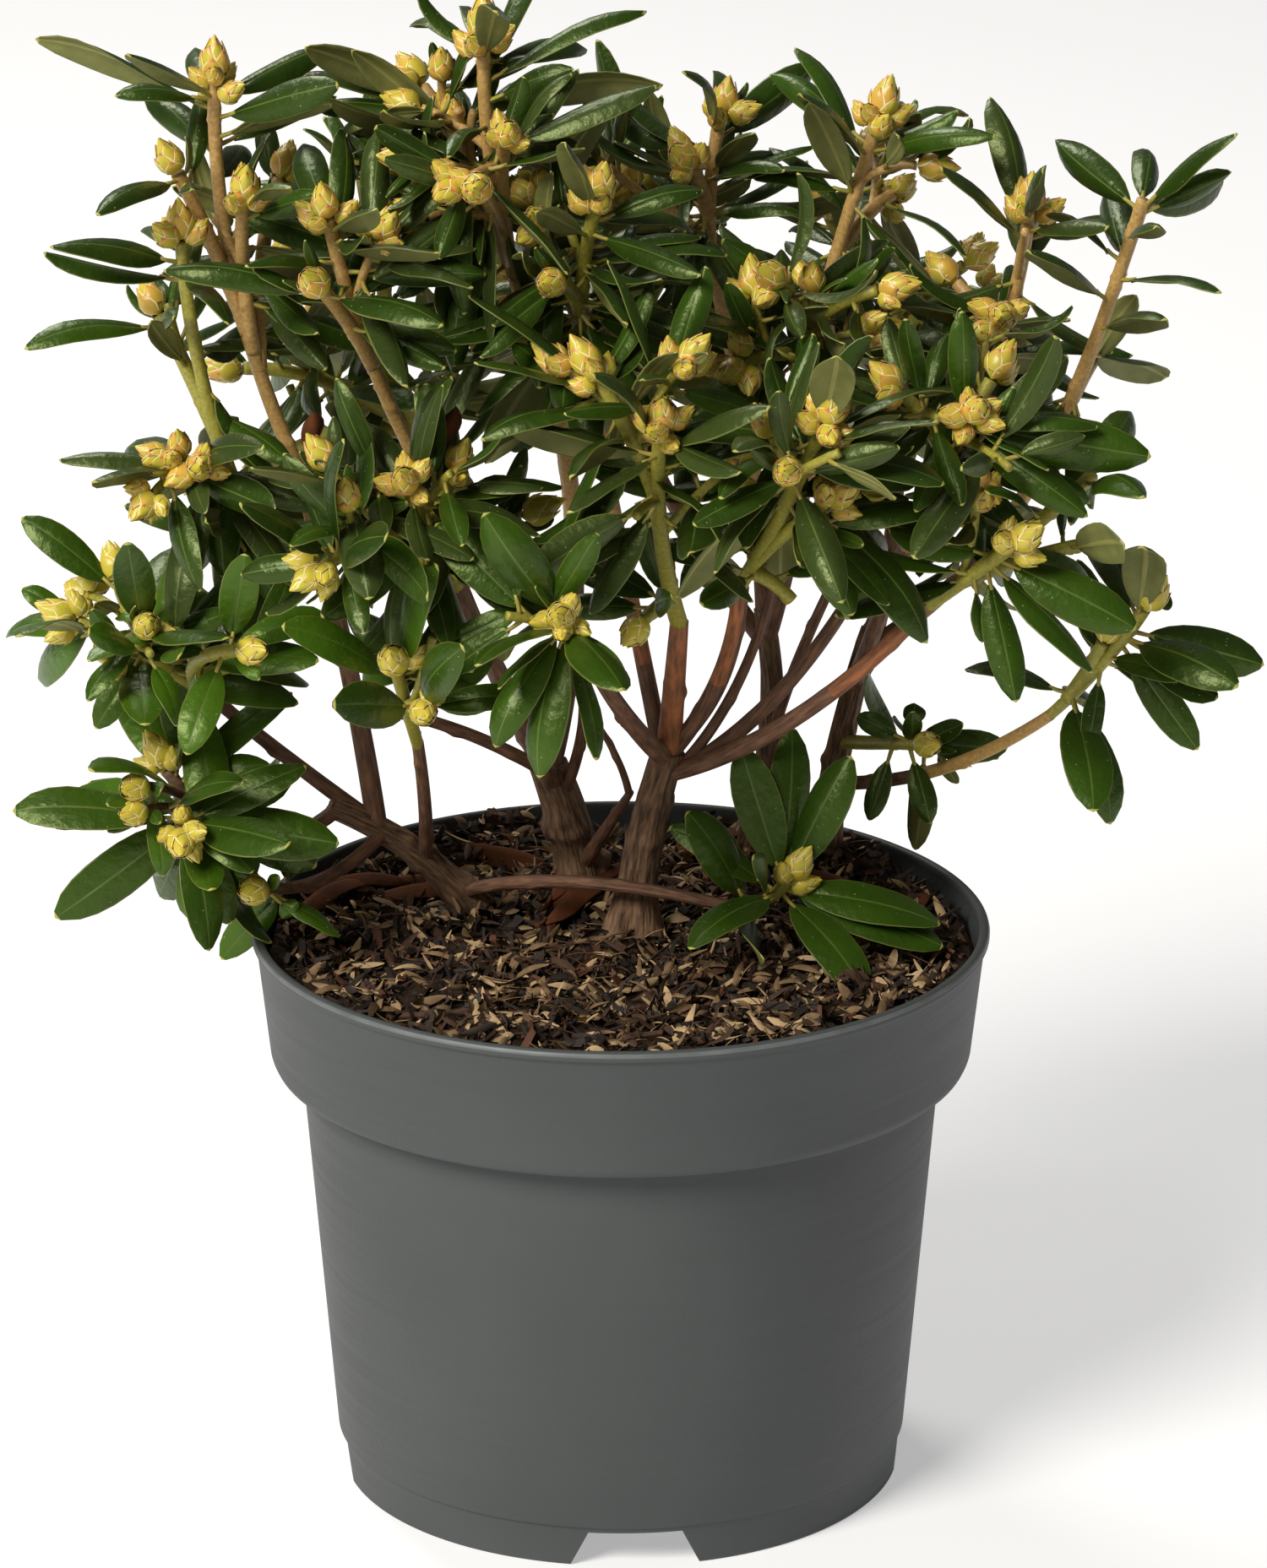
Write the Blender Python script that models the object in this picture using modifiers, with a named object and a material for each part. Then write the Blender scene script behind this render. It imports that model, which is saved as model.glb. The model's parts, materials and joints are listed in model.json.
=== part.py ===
"""A young rhododendron in its round nursery pot, in bud.

Metres, +Z up. The origin is on the pot's axis, on the flat underside that it stands on, and the
front faces -Y. Rows below give places in millimetres, and mm() turns them into metres.
"""
import math
import random
from collections import namedtuple

import bmesh
import bpy
from mathutils import Matrix, Vector
from mathutils.bvhtree import BVHTree
from mathutils.kdtree import KDTree

MM = 0.001
GAP = 0.3 * MM
SEED = 11

# Pot, in metres
RIM_RADIUS = 0.115
POT_HEIGHT = 0.180
BAND_HEIGHT = 0.0435
BAND_FOOT_RADIUS = 0.1095
BODY_TOP_RADIUS = 0.1000
BODY_FOOT_RADIUS = 0.0897
FOOT_HEIGHT = 0.0135
FOOT_RADIUS = 0.0886
LIP = 0.0032
WALL = 0.0018
DISC_RADIUS = 0.050
CHANNEL_HEIGHT = 0.0125
NOTCH_COUNT = 4
NOTCH_TOP_WIDTH = 0.029
NOTCH_FOOT_WIDTH = 0.042
NOTCH_HEIGHT = 0.0115
NOTCH_TURN = math.radians(3.0)
RIM_DRAFT = 0.0015
CHANNEL_SLOPE = 0.008
POT_SIDES = 40

# Soil, with its flat top a little below the rim, and how far foliage stays clear of it
SOIL_TOP = 0.1730
SOIL_CLEARANCE = 0.003

# Trunks and boughs, in metres
BARK_SIDES = 6
LONG_LIMB = 0.085
SAMPLE_SPACING = 0.002

# Leaves and buds, in metres
LEAF_STALK = 0.008
WHOLE_LEAF = 0.046
SPRAY_LEAF = 0.045
LEAF_WIDTH_SHARE = 0.43
LEAST_LEAF_WIDTH = 0.012
MOST_LEAF_WIDTH = 0.019
LEAF_THICKNESS = 0.0013
LEAF_ARCH = 0.03
INNER_RING = 0.36
OUTER_RING = 0.78
BUD_LENGTH = 0.0115
BUD_RADIUS = 0.0036
BUD_SHOULDER = 0.42

# How leaves and buds stand on a shoot
GOLDEN_TURN = 2.4
BUDS_PER_SHOOT = 2
LEAVES_PER_SHOOT = 5
FEWEST_SPRAY_LEAVES = 2
SPARE_TRIES = 6
FIRST_LEAF_DOWN = 0.005
LEAF_SPACING = 0.0075
NARROWEST_SPREAD = 48
WIDEST_SPREAD = 82
CLOSEST_LEAVES = math.radians(28)
LEANS_TRIED = (1, 0.7, 0.4, 0.1, -0.5, -1)

# Twigs, and how far from its shoots' middle a mass may reach beyond them
TWIG_FOOT_RADIUS = 0.0024
TWIG_TIP_RADIUS = 0.0017
SPACE_MARGIN = 0.052
FORK_BACK = 0.45
TWIG_TRIES = 40
TWIG_STRAY = 0.0006

# A limb: the limb it grows from, how far along it, its tip and the bow at its middle in
# millimetres, its radius at both ends, and how much its foot flares.
Limb = namedtuple("Limb", "parent at foot tip bow radii flare")

TRUNKS = {
    "trunk_left": Limb(None, 0, (-12, 46), (-23, 38, 218), (1, 2, 0), (7.6, 5.8), 1.45),
    "trunk_right": Limb(None, 0, (4, 9), (15, 2, 236), (-2, 0, 0), (6.4, 5.2), 1.55),
    "trunk_low": Limb(None, 0, (-47, 31), (-90, 11, 214), (4, 0, 2), (5.2, 3.4), 1.30),
    "trunk_rear": Limb(None, 0, (40, 80), (45, 58, 264), (5, 0, 0), (4.4, 3.0), 1.40),
    "trunk_rear_right": Limb(None, 0, (64, 68), (79, 60, 256), (-2, 3, 0), (4.8, 3.4), 1.40),
}

BOUGHS = {
    "bough_top": Limb("trunk_left", 0.97, None, (-24, 12, 360), (9, 8, 0), (3.6, 2.4), 1),
    "bough_upper_left": Limb("trunk_left", 0.90, None, (-62, -3, 331), (-3, 8, -4), (3.2, 2.2), 1),
    "bough_front_left": Limb("trunk_left", 0.78, None, (-50, -25, 298), (1, -5, 0), (3.0, 2.2), 1),
    "bough_rear_left": Limb("trunk_left", 0.80, None, (-62, 78, 302), (-2, 8, -8), (3.0, 2.2), 1),
    "bough_centre": Limb("trunk_right", 0.98, None, (18, -17, 284), (0, -2, 0), (3.9, 2.8), 1),
    "bough_middle": Limb("trunk_right", 0.92, None, (-10, -6, 358), (0, 9, -4), (2.8, 2.2), 1),
    "bough_front": Limb("trunk_right", 0.80, None, (-8, -50, 280), (-1, -4, -8), (3.4, 2.2), 1),
    "bough_right": Limb("trunk_right", 0.86, None, (94, -31, 294), (0, -1, -9), (3.0, 2.2), 1),
    "bough_right_inner": Limb("trunk_right", 0.95, None, (36, -26, 298), (5, 1, -2), (2.6, 2.2), 1),
    "bough_rise": Limb("trunk_low", 0.75, None, (-99, 2, 328), (6, 2, 0), (3.4, 2.3), 1),
    "bough_outer_left": Limb("bough_rise", 0.45, None, (-113, -4, 312), (-4, 0, -4), (2.4, 2.0), 1),
    "bough_reach_left": Limb("trunk_low", 0.55, None, (-126, -6, 256), (-4, 0, 2), (2.6, 2.0), 1),
    "bough_low_front": Limb("trunk_low", 0.42, None, (-62, -27, 248), (4, 0, -2), (2.3, 1.9), 1),
    "bough_low_left": Limb("trunk_low", 0.97, None, (-121, -12, 212), (0, 0, -5), (2.4, 2.0), 1),
    "bough_low_spur": Limb("trunk_low", 0.70, None, (-103, -17, 197), (0, -3, -3), (2.2, 1.9), 1),
    "runner": Limb("trunk_low", 0.12, None, (39, -12, 188), (-4, -14, 6), (2.5, 2.0), 1),
    "bough_rear_top": Limb("trunk_rear", 0.98, None, (28, 50, 378), (3, 4, 0), (2.9, 2.2), 1),
    "bough_rear_right_top": Limb("trunk_rear", 0.94, None, (65, 43, 379), (5, 6, 0), (2.7, 2.2), 1),
    "bough_inner": Limb("trunk_rear", 0.88, None, (57, 16, 342), (2, -6, 0), (2.7, 2.2), 1),
    "bough_rear_middle": Limb("trunk_rear", 0.84, None, (2, 92, 318), (-2, 8, -4), (2.8, 2.2), 1),
    "bough_high_right": Limb("trunk_rear_right", 0.97, None, (114, 42, 346), (0, 6, 0), (2.9, 2.2), 1),
    "bough_far_right": Limb("trunk_rear_right", 0.91, None, (136, 17, 338), (6, 6, -8), (2.8, 2.2), 1),
    "bough_fore_right": Limb("trunk_rear_right", 0.78, None, (93, -8, 320), (-2, -2, -4), (2.8, 2.2), 1),
    "bough_reach_right": Limb("trunk_rear_right", 0.35, None, (133, 0, 248), (0, -2, -9), (2.8, 2.0), 1),
    "bough_rear_side": Limb("trunk_rear_right", 0.70, None, (88, 98, 302), (4, 6, -6), (2.8, 2.2), 1),
}

# A shoot: its tip in millimetres, its number of buds, and the leaves that mark its outline in the
# front view. Each of those has its own tip, to the right of and above the shoot's tip as that
# view shows it, then 1 where it leans to the front, -1 to the back or 0 for neither, and how far
# below the shoot's tip it grows.
Shoot = namedtuple("Shoot", "tip buds leaves")

# A mass of foliage: the limb its stem goes on from, how far along it, and its shoots. The first
# shoot carries the stem on, and the others branch from it.
Mass = namedtuple("Mass", "parent at shoots")

MASSES = {
    "foliage_top_left": Mass("bough_rise", 1, [
        Shoot((-122, 0, 449), 5, [(-54, 13, 0, 8), (-8, 14, -1, 4), (34, 13, -1, 6),
                                  (38, -3, 1, 12), (-22, 1, -1, 24), (-24, 5, 1, 5)]),
        Shoot((-133, -10, 423), 1, [(-22, -15, 1, 3)]),
        Shoot((-113, -15, 416), 3, [(16, 1, 1, 3)]),
        Shoot((-104, 24, 412), 2, []),
    ]),
    "foliage_left": Mass("bough_outer_left", 1, [
        Shoot((-132, -14, 403), 3, [(-38, -3, 1, 7), (-14, 7, -1, 4), (16, -27, 1, 10)]),
        Shoot((-140, 6, 374), 1, [(-40, -14, 1, 4)]),
        Shoot((-136, -28, 338), 4, [(-34, 1, 0, 10), (-22, -7, 1, 14), (-16, 5, -1, 5),
                                    (30, 3, 1, 12)]),
    ]),
    "foliage_upper_left": Mass("bough_upper_left", 1, [
        Shoot((-87, -35, 416), 4, [(-9, 25, -1, 4), (-16, 12, -1, 5), (16, 0, 1, 5),
                                   (31, 7, -1, 9), (34, -12, 1, 12)]),
        Shoot((-89, -46, 397), 1, [(-47, 6, 1, 5), (37, -12, 1, 6)]),
    ]),
    "foliage_top": Mass("bough_top", 1, [
        Shoot((-41, 0, 462), 5, [(-23, 8, -1, 5), (-6, 12, -1, 3), (49, 9, -1, 14),
                                 (31, 0, -1, 8), (53, -7, -1, 16), (5, 4, 1, 6)]),
        Shoot((-34, -25, 437), 3, [(45, 17, 1, 6)]),
        Shoot((-42, -43, 427), 2, []),
        Shoot((-50, 20, 429), 2, [(-31, 22, 1, 4)]),
        Shoot((-60, 28, 440), 2, [(-35, 10, 1, 5), (-42, 3, -1, 9)]),
    ]),
    "foliage_centre": Mass("bough_middle", 1, [
        Shoot((-7, -25, 419), 4, [(-9, 14, 1, 4), (32, 3, 0, 8), (29, -7, -1, 7),
                                  (31, -24, 1, 12)]),
        Shoot((-19, -42, 398), 1, []),
        Shoot((-27, 5, 408), 1, []),
        Shoot((-45, 0, 366), 0, []),
    ]),
    "foliage_front": Mass("bough_centre", 1, [
        Shoot((12, -75, 363), 5, [(-47, 2, 1, 14), (32, 5, 1, 12), (42, -7, 1, 20),
                                  (-20, 14, 1, 8), (-37, -46, 0, 46), (28, -51, 0, 42)]),
        Shoot((-7, -62, 375), 4, [(-38, 24, 1, 6)]),
        Shoot((7, -42, 292), 1, []),
    ]),
    "foliage_front_right": Mass("bough_right_inner", 1, [
        Shoot((61, -75, 365), 5, [(38, 10, -1, 6), (32, -1, 1, 9), (2, 17, 1, 3)]),
        Shoot((50, -88, 353), 1, []),
        Shoot((62, -54, 333), 3, [(30, -42, 1, 5)]),
    ]),
    "foliage_right": Mass("bough_fore_right", 1, [
        Shoot((105, -50, 359), 5, [(38, -3, 0, 6), (54, -12, 0, 12), (35, -30, 1, 16)]),
        Shoot((84, -38, 363), 2, []),
        Shoot((112, -16, 360), 2, []),
    ]),
    "foliage_right_low": Mass("bough_right", 1, [
        Shoot((118, -55, 320), 4, [(26, -12, -1, 5), (37, -25, 1, 9), (1, -47, 0, 14),
                                   (24, -38, 1, 12)]),
        Shoot((143, -20, 331), 0, [(14, 21, -1, 3), (13, -8, 1, 4)]),
        Shoot((139, -30, 312), 0, [(11, -1, 1, 3)]),
    ]),
    "foliage_high_right": Mass("bough_high_right", 1, [
        Shoot((125, 30, 400), 4, [(-11, 37, -1, 7), (2, 10, 1, 3), (22, -10, 1, 6)]),
        Shoot((117, 10, 373), 3, []),
        Shoot((104, 50, 372), 1, []),
    ]),
    "foliage_far_right": Mass("bough_far_right", 1, [
        Shoot((158, 0, 412), 0, [(-25, 21, -1, 4), (-11, 18, 1, 3), (3, 18, -1, 1),
                                 (26, 18, 1, 3), (27, 9, -1, 4), (22, -29, 1, 28),
                                 (6, -37, 1, 46), (11, -50, -1, 55), (-36, -16, 1, 36)]),
        Shoot((146, 34, 352), 0, []),
    ]),
    "foliage_inner": Mass("bough_inner", 1, [
        Shoot((58, 0, 383), 2, []),
        Shoot((78, -5, 385), 2, []),
        Shoot((37, -20, 366), 3, []),
    ]),
    "foliage_rear_top": Mass("bough_rear_top", 1, [
        Shoot((31, 55, 424), 3, [(-1, 17, -1, 3), (-12, 10, 1, 5), (30, 18, -1, 8)]),
        Shoot((21, 38, 413), 3, []),
        Shoot((4, 62, 396), 2, []),
    ]),
    "foliage_rear_right_top": Mass("bough_rear_right_top", 1, [
        Shoot((79, 40, 427), 5, [(-33, 16, -1, 9), (9, 9, -1, 5), (29, 4, -1, 7),
                                 (35, -7, 1, 11), (-22, 3, 1, 26), (-25, 5, 1, 12)]),
        Shoot((84, 62, 397), 3, [(22, -22, 1, 5)]),
    ]),
    "foliage_far_right_low": Mass("bough_reach_right", 1, [
        Shoot((160, -15, 287), 3, [(-14, 23, -1, 4), (-3, 18, 1, 4), (8, 4, 0, 3),
                                   (37, -17, 0, 10), (27, -24, 1, 13), (17, -43, 0, 16),
                                   (-17, -43, 0, 26)]),
        Shoot((148, -8, 274), 1, [(3, -56, 0, 22), (-42, -8, 0, 24)]),
    ]),
    "foliage_right_sprig": Mass("trunk_rear_right", 0.52, [
        Shoot((93, 30, 228), 1, [(-19, 9, 0, 3), (-1, 13, 0, 3), (19, -1, 0, 3),
                                 (4, -25, 0, 5)]),
    ]),
    "foliage_soil_sprig": Mass("runner", 1, [
        Shoot((52, -14, 199), 3, [(-37, 16, 0, 6), (-15, 41, 1, 3), (19, 38, 1, 3),
                                  (1, 47, -1, 4), (-31, -21, 1, 5), (48, -21, 0, 4),
                                  (47, -14, -1, 4), (24, -37, 1, 5)]),
    ]),
    "foliage_front_hanging": Mass("bough_front", 1, [
        Shoot((-17, -93, 309), 4, [(-7, -47, 0, 8), (-20, -38, 0, 8), (18, -21, 1, 6),
                                   (-25, -14, 1, 7), (-23, 31, 1, 10)]),
    ]),
    "foliage_front_left": Mass("bough_front_left", 1, [
        Shoot((-63, -70, 343), 4, []),
        Shoot((-50, -52, 342), 2, []),
        Shoot((-88, -80, 321), 3, [(7, 37, 1, 6), (-7, 29, -1, 5), (-23, 18, 1, 6),
                                   (20, 8, 1, 6)]),
    ]),
    "foliage_low_front": Mass("bough_low_front", 1, [
        Shoot((-67, -75, 288), 2, [(13, 30, 1, 5), (-33, 12, 1, 8), (-13, 18, -1, 6)]),
        Shoot((-60, -78, 276), 2, [(14, 18, 1, 5), (34, 3, 0, 6), (-24, 1, 1, 5)]),
    ]),
    "foliage_far_left": Mass("bough_reach_left", 1, [
        Shoot((-166, -15, 283), 3, [(-24, -3, -1, 5), (-15, -5, 1, 6), (-15, -17, -1, 7),
                                    (-17, 10, 0, 3)]),
        Shoot((-154, 2, 290), 1, [(-30, 20, 0, 4)]),
        Shoot((-144, -38, 288), 2, [(-3, 25, 1, 4), (9, 27, -1, 4), (27, -3, 1, 5),
                                    (-16, -30, 0, 20)]),
        Shoot((-114, -56, 287), 1, []),
    ]),
    "foliage_low_left": Mass("bough_low_left", 1, [
        Shoot((-139, -15, 235), 3, [(-16, 27, -1, 5), (10, 29, 1, 4), (38, 24, 0, 6),
                                    (-22, 0, 1, 9)]),
        Shoot((-134, -43, 224), 4, [(-52, 7, 0, 12), (-41, -25, 0, 16), (39, 22, 0, 7),
                                    (34, -3, 1, 10), (48, -3, -1, 11), (8, -36, 0, 16)]),
    ]),
    "foliage_low_left_front": Mass("bough_low_spur", 1, [
        Shoot((-110, -27, 200), 1, [(24, -14, 0, 4), (10, -8, 0, 3), (-7, 12, 0, 3)]),
    ]),
    "foliage_rear_left": Mass("bough_rear_left", 1, [
        Shoot((-81, 62, 409), 2, [(0, 11, 1, 3)]),
        Shoot((-92, 104, 352), 3, []),
        Shoot((-118, 66, 340), 2, []),
        Shoot((-112, 94, 300), 2, []),
        Shoot((-58, 118, 318), 3, []),
    ]),
    "foliage_rear": Mass("bough_rear_middle", 1, [
        Shoot((-8, 92, 396), 3, []),
        Shoot((22, 118, 366), 3, []),
        Shoot((-34, 112, 352), 3, []),
        Shoot((4, 132, 320), 3, []),
    ]),
    "foliage_rear_right": Mass("bough_rear_side", 1, [
        Shoot((66, 106, 378), 3, []),
        Shoot((108, 92, 366), 2, []),
        Shoot((134, 86, 318), 2, []),
        Shoot((92, 128, 322), 3, []),
    ]),
}

# The front view: a viewer this far away looks down at the middle of the plant by this angle.
VIEW_DISTANCE = 2.5
VIEW_ANGLE = math.radians(19.15)
VIEW_MIDDLE = (4, 0, 225)

# Gaps in the crown that the sky shows through in that view, as ellipses: the middle to the right
# of and above the view's own middle, and the half width and half height, in millimetres.
SKY_GAPS = [
    # beside the crown on the left, from the top down
    (-169, 196, 20, 15), (-176, 151, 16, 6), (-165, 120, 25, 9), (-178, 89, 13, 6),
    (-178, 14, 16, 12), (-158, 11, 7, 7), (-182, -24, 10, 7),
    # over the crown, from left to right
    (-88, 237, 25, 7), (28, 234, 21, 8), (86, 228, 22, 10), (126, 218, 8, 20), (145, 214, 13, 10),
    # beside the crown on the right, from the top down
    (186, 168, 12, 10), (187, 138, 10, 5), (184, 109, 16, 16), (184, 81, 16, 14),
    (174, -8, 18, 10),
    # in the upper crown
    (146, 155, 5, 7), (47, 177, 7, 12), (50, 206, 6, 8), (98, 176, 7, 9), (111, 187, 5, 8),
    (-114, 123, 5, 11), (-97, 108, 6, 4),
    # low in the crown, where bare limbs show
    (-85, 43, 3, 9), (-94, 12, 12, 7), (-71, 1, 6, 12), (-50, 4, 11, 9), (26, 6, 5, 10),
    (26, 41, 6, 14), (38, 36, 5, 13), (65, 21, 4, 8), (94, 34, 10, 11), (109, 51, 7, 5),
    (131, 40, 6, 11), (115, -10, 18, 12), (9, 26, 3, 7),
]

# Colours as linear red, green and blue, with roughness
POT_LOOK = ((0.075, 0.085, 0.090), 0.55)
SOIL_LOOK = ((0.040, 0.024, 0.014), 0.95)
BARK_LOOK = ((0.120, 0.062, 0.034), 0.85)
LEAF_LOOK = ((0.030, 0.085, 0.022), 0.35)


def mm(row):
    """A row of millimetres as a vector in metres."""
    return Vector(row) * MM


def clear_scene():
    for thing in list(bpy.data.objects):
        bpy.data.objects.remove(thing, do_unlink=True)


def new_collection(name):
    collection = bpy.data.collections.new(name)
    bpy.context.scene.collection.children.link(collection)
    return collection


def add_object(name, mesh, collection):
    thing = bpy.data.objects.new(name, mesh)
    collection.objects.link(thing)
    return thing


def paint(thing, look):
    """Give the object its own material."""
    colour, roughness = look
    material = bpy.data.materials.new(thing.name)
    material.use_nodes = True
    shader = material.node_tree.nodes["Principled BSDF"]
    shader.inputs["Base Color"].default_value = (*colour, 1.0)
    shader.inputs["Roughness"].default_value = roughness
    shader.inputs["Metallic"].default_value = 0.0
    material.diffuse_color = (*colour, 1.0)
    thing.data.materials.clear()
    thing.data.materials.append(material)


def baked(thing):
    """Replace the object's mesh by its evaluated one, and drop its modifiers."""
    graph = bpy.context.evaluated_depsgraph_get()
    mesh = bpy.data.meshes.new_from_object(thing.evaluated_get(graph))
    thing.modifiers.clear()
    thing.data = mesh
    return thing


def difference(thing, cutter):
    modifier = thing.modifiers.new("cut", "BOOLEAN")
    modifier.operation = "DIFFERENCE"
    modifier.object = cutter


def keep_largest_body(mesh):
    """Drop the scraps and sealed hollows that a Boolean leaves. True if the body is closed."""
    work = bmesh.new()
    work.from_mesh(mesh)
    bmesh.ops.remove_doubles(work, verts=work.verts, dist=1e-6)
    bmesh.ops.dissolve_degenerate(work, edges=work.edges, dist=1e-6)
    unseen = set(work.faces)
    bodies = []
    while unseen:
        front = [unseen.pop()]
        body = set(front)
        while front:
            for edge in front.pop().edges:
                for other in edge.link_faces:
                    if other in unseen and len(edge.link_faces) == 2:
                        unseen.discard(other)
                        body.add(other)
                        front.append(other)
        bodies.append(body)
    bodies.sort(key=len)
    scraps = [face for body in bodies[:-1] for face in body]
    bmesh.ops.delete(work, geom=scraps, context="FACES")
    closed = all(len(edge.link_faces) == 2 for edge in work.edges)
    work.to_mesh(mesh)
    work.free()
    return closed


def turned(name, outline, sides, collection):
    """A solid of revolution: the outline runs from the axis up the inside and down the outside."""
    mesh = bpy.data.meshes.new(name)
    edges = [(i, i + 1) for i in range(len(outline) - 1)]
    mesh.from_pydata([(radius, 0, height) for radius, height in outline], edges, [])
    thing = add_object(name, mesh, collection)
    screw = thing.modifiers.new("turn", "SCREW")
    screw.steps = sides
    screw.render_steps = sides
    screw.use_merge_vertices = True
    screw.merge_threshold = 0.00001
    return thing


def pot_wall_radius(height):
    """The outer radius of the pot's body between the foot line and the band."""
    share = (height - FOOT_HEIGHT) / (POT_HEIGHT - BAND_HEIGHT - FOOT_HEIGHT)
    return BODY_FOOT_RADIUS + (BODY_TOP_RADIUS - BODY_FOOT_RADIUS) * share


def pot_inside():
    """The inside of the pot from the axis to just under the lip."""
    step = POT_HEIGHT - BAND_HEIGHT
    floor = CHANNEL_HEIGHT + WALL
    return [
        (0, WALL),
        (DISC_RADIUS - WALL, WALL),
        (DISC_RADIUS + CHANNEL_SLOPE, floor),
        (pot_wall_radius(floor) - WALL, floor),
        (pot_wall_radius(step) - WALL, step),
        (BAND_FOOT_RADIUS - WALL, step + 0.002),
        (RIM_RADIUS - RIM_DRAFT - WALL, POT_HEIGHT - LIP),
    ]


def pot_outline():
    """The pot's whole section: up its inside, over the lip, down its outside and in to the disc."""
    step = POT_HEIGHT - BAND_HEIGHT
    foot = FOOT_RADIUS - 0.0008
    lip_top = [
        (RIM_RADIUS - 0.0035, POT_HEIGHT - 0.0006),
        (RIM_RADIUS - 0.0025, POT_HEIGHT),
        (RIM_RADIUS - 0.0010, POT_HEIGHT),
        (RIM_RADIUS, POT_HEIGHT - 0.0010),
        (RIM_RADIUS, POT_HEIGHT - LIP),
        (RIM_RADIUS - 0.0012, POT_HEIGHT - LIP - 0.0006),
    ]
    outside = [
        (BAND_FOOT_RADIUS, step + 0.0030),
        (BAND_FOOT_RADIUS - 0.0014, step + 0.0006),
        (BAND_FOOT_RADIUS - 0.0040, step),
        (BODY_TOP_RADIUS, step - 0.0002),
        (BODY_FOOT_RADIUS, FOOT_HEIGHT),
        (FOOT_RADIUS, FOOT_HEIGHT - 0.0004),
        (foot, 0),
        (foot - WALL, 0),
        (foot - WALL, CHANNEL_HEIGHT),
        (DISC_RADIUS + CHANNEL_SLOPE, CHANNEL_HEIGHT),
        (DISC_RADIUS, 0),
        (0, 0),
    ]
    return pot_inside() + lip_top + outside


def notch_cutter(index, cutters):
    """A block that is wider at its foot, through the pot's foot ring."""
    bpy.ops.mesh.primitive_cube_add(size=1)
    cutter = bpy.context.object
    cutter.name = f"notch_cutter_{index}"
    for collection in list(cutter.users_collection):
        collection.objects.unlink(cutter)
    cutters.objects.link(cutter)
    for vert in cutter.data.vertices:
        top = vert.co.z > 0
        vert.co.x *= NOTCH_TOP_WIDTH if top else NOTCH_FOOT_WIDTH
        vert.co.y = -FOOT_RADIUS + vert.co.y * 0.016
        vert.co.z = NOTCH_HEIGHT if top else -0.002
    turn = NOTCH_TURN + index * 2 * math.pi / NOTCH_COUNT
    cutter.data.transform(Matrix.Rotation(turn, 4, "Z"))
    cutter.hide_render = True
    cutter.display_type = "WIRE"
    return cutter


def build_pot(parts, cutters):
    pot = turned("pot", pot_outline(), POT_SIDES, parts)
    for index in range(NOTCH_COUNT):
        difference(pot, notch_cutter(index, cutters))
    baked(pot)
    pot.data.shade_smooth()
    pot.data.set_sharp_from_angle(angle=math.radians(30))
    paint(pot, POT_LOOK)


def build_soil(parts):
    """The root ball fills the pot, a gap inside its wall, up to the flat top."""
    inside = [(max(radius - GAP, 0), height + GAP) for radius, height in pot_inside()]
    inside = [place for place in inside if place[1] < SOIL_TOP]
    low_radius, low_height = inside[-1]
    top_radius = RIM_RADIUS - RIM_DRAFT - WALL - GAP
    share = (SOIL_TOP - low_height) / (POT_HEIGHT - LIP - low_height)
    edge = low_radius + (top_radius - low_radius) * share - GAP
    outline = [(0, SOIL_TOP), (edge, SOIL_TOP)] + inside[::-1]
    soil = turned("soil", outline, POT_SIDES, parts)
    baked(soil)
    soil.data.shade_smooth()
    soil.data.set_sharp_from_angle(angle=math.radians(30))
    paint(soil, SOIL_LOOK)


def arc(start, tip, bow, count):
    """Points on a smooth curve from start to tip, pushed aside by bow at its middle."""
    middle = (start + tip) / 2 + bow * 2
    points = []
    for i in range(count):
        t = i / (count - 1)
        points.append(start * (1 - t) ** 2 + middle * 2 * t * (1 - t) + tip * t ** 2)
    return points


def along(points, share):
    """The place a share of the way along a row of points, and the direction there."""
    place = min(max(share, 0), 1) * (len(points) - 1)
    i = min(int(place), len(points) - 2)
    step = points[i + 1] - points[i]
    return points[i] + step * (place - i), step.normalized()


def limb_radii(limb, count):
    """Radii in metres from foot to tip, with the flare dying away over the first third."""
    foot, tip = limb.radii
    radii = []
    for i in range(count):
        t = i / (count - 1)
        flare = 1 + (limb.flare - 1) * max(1 - 3 * t, 0) ** 1.5
        radii.append((foot + (tip - foot) * t) * flare * MM)
    return radii


def ring_curve(sides, collection):
    """A hidden ring of the given number of sides that limbs and twigs are swept from."""
    curve = bpy.data.curves.new(f"ring_{sides}", "CURVE")
    curve.dimensions = "2D"
    spline = curve.splines.new("POLY")
    spline.points.add(sides - 1)
    spline.use_cyclic_u = True
    for i, point in enumerate(spline.points):
        turn = 2 * math.pi * i / sides
        point.co = (math.cos(turn), math.sin(turn), 0, 1)
    ring = add_object(f"ring_{sides}", curve, collection)
    ring.hide_render = True
    ring.display_type = "WIRE"
    return ring


def tube(name, points, radii, ring, collection):
    """A closed tapering tube along the points, as a mesh object."""
    curve = bpy.data.curves.new(name, "CURVE")
    curve.dimensions = "3D"
    curve.bevel_mode = "OBJECT"
    curve.bevel_object = ring
    curve.use_fill_caps = True
    spline = curve.splines.new("POLY")
    spline.points.add(len(points) - 1)
    for point, place, radius in zip(spline.points, points, radii):
        point.co = (*place, 1)
        point.radius = radius
    swept = add_object(name, curve, collection)
    bpy.context.view_layer.update()
    graph = bpy.context.evaluated_depsgraph_get()
    mesh = bpy.data.meshes.new_from_object(swept.evaluated_get(graph))
    bpy.data.objects.remove(swept)
    work = bmesh.new()
    work.from_mesh(mesh)
    bmesh.ops.remove_doubles(work, verts=work.verts, dist=1e-6)
    bmesh.ops.recalc_face_normals(work, faces=work.faces)
    work.to_mesh(mesh)
    work.free()
    mesh.name = name
    return add_object(name, mesh, collection)


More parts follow.
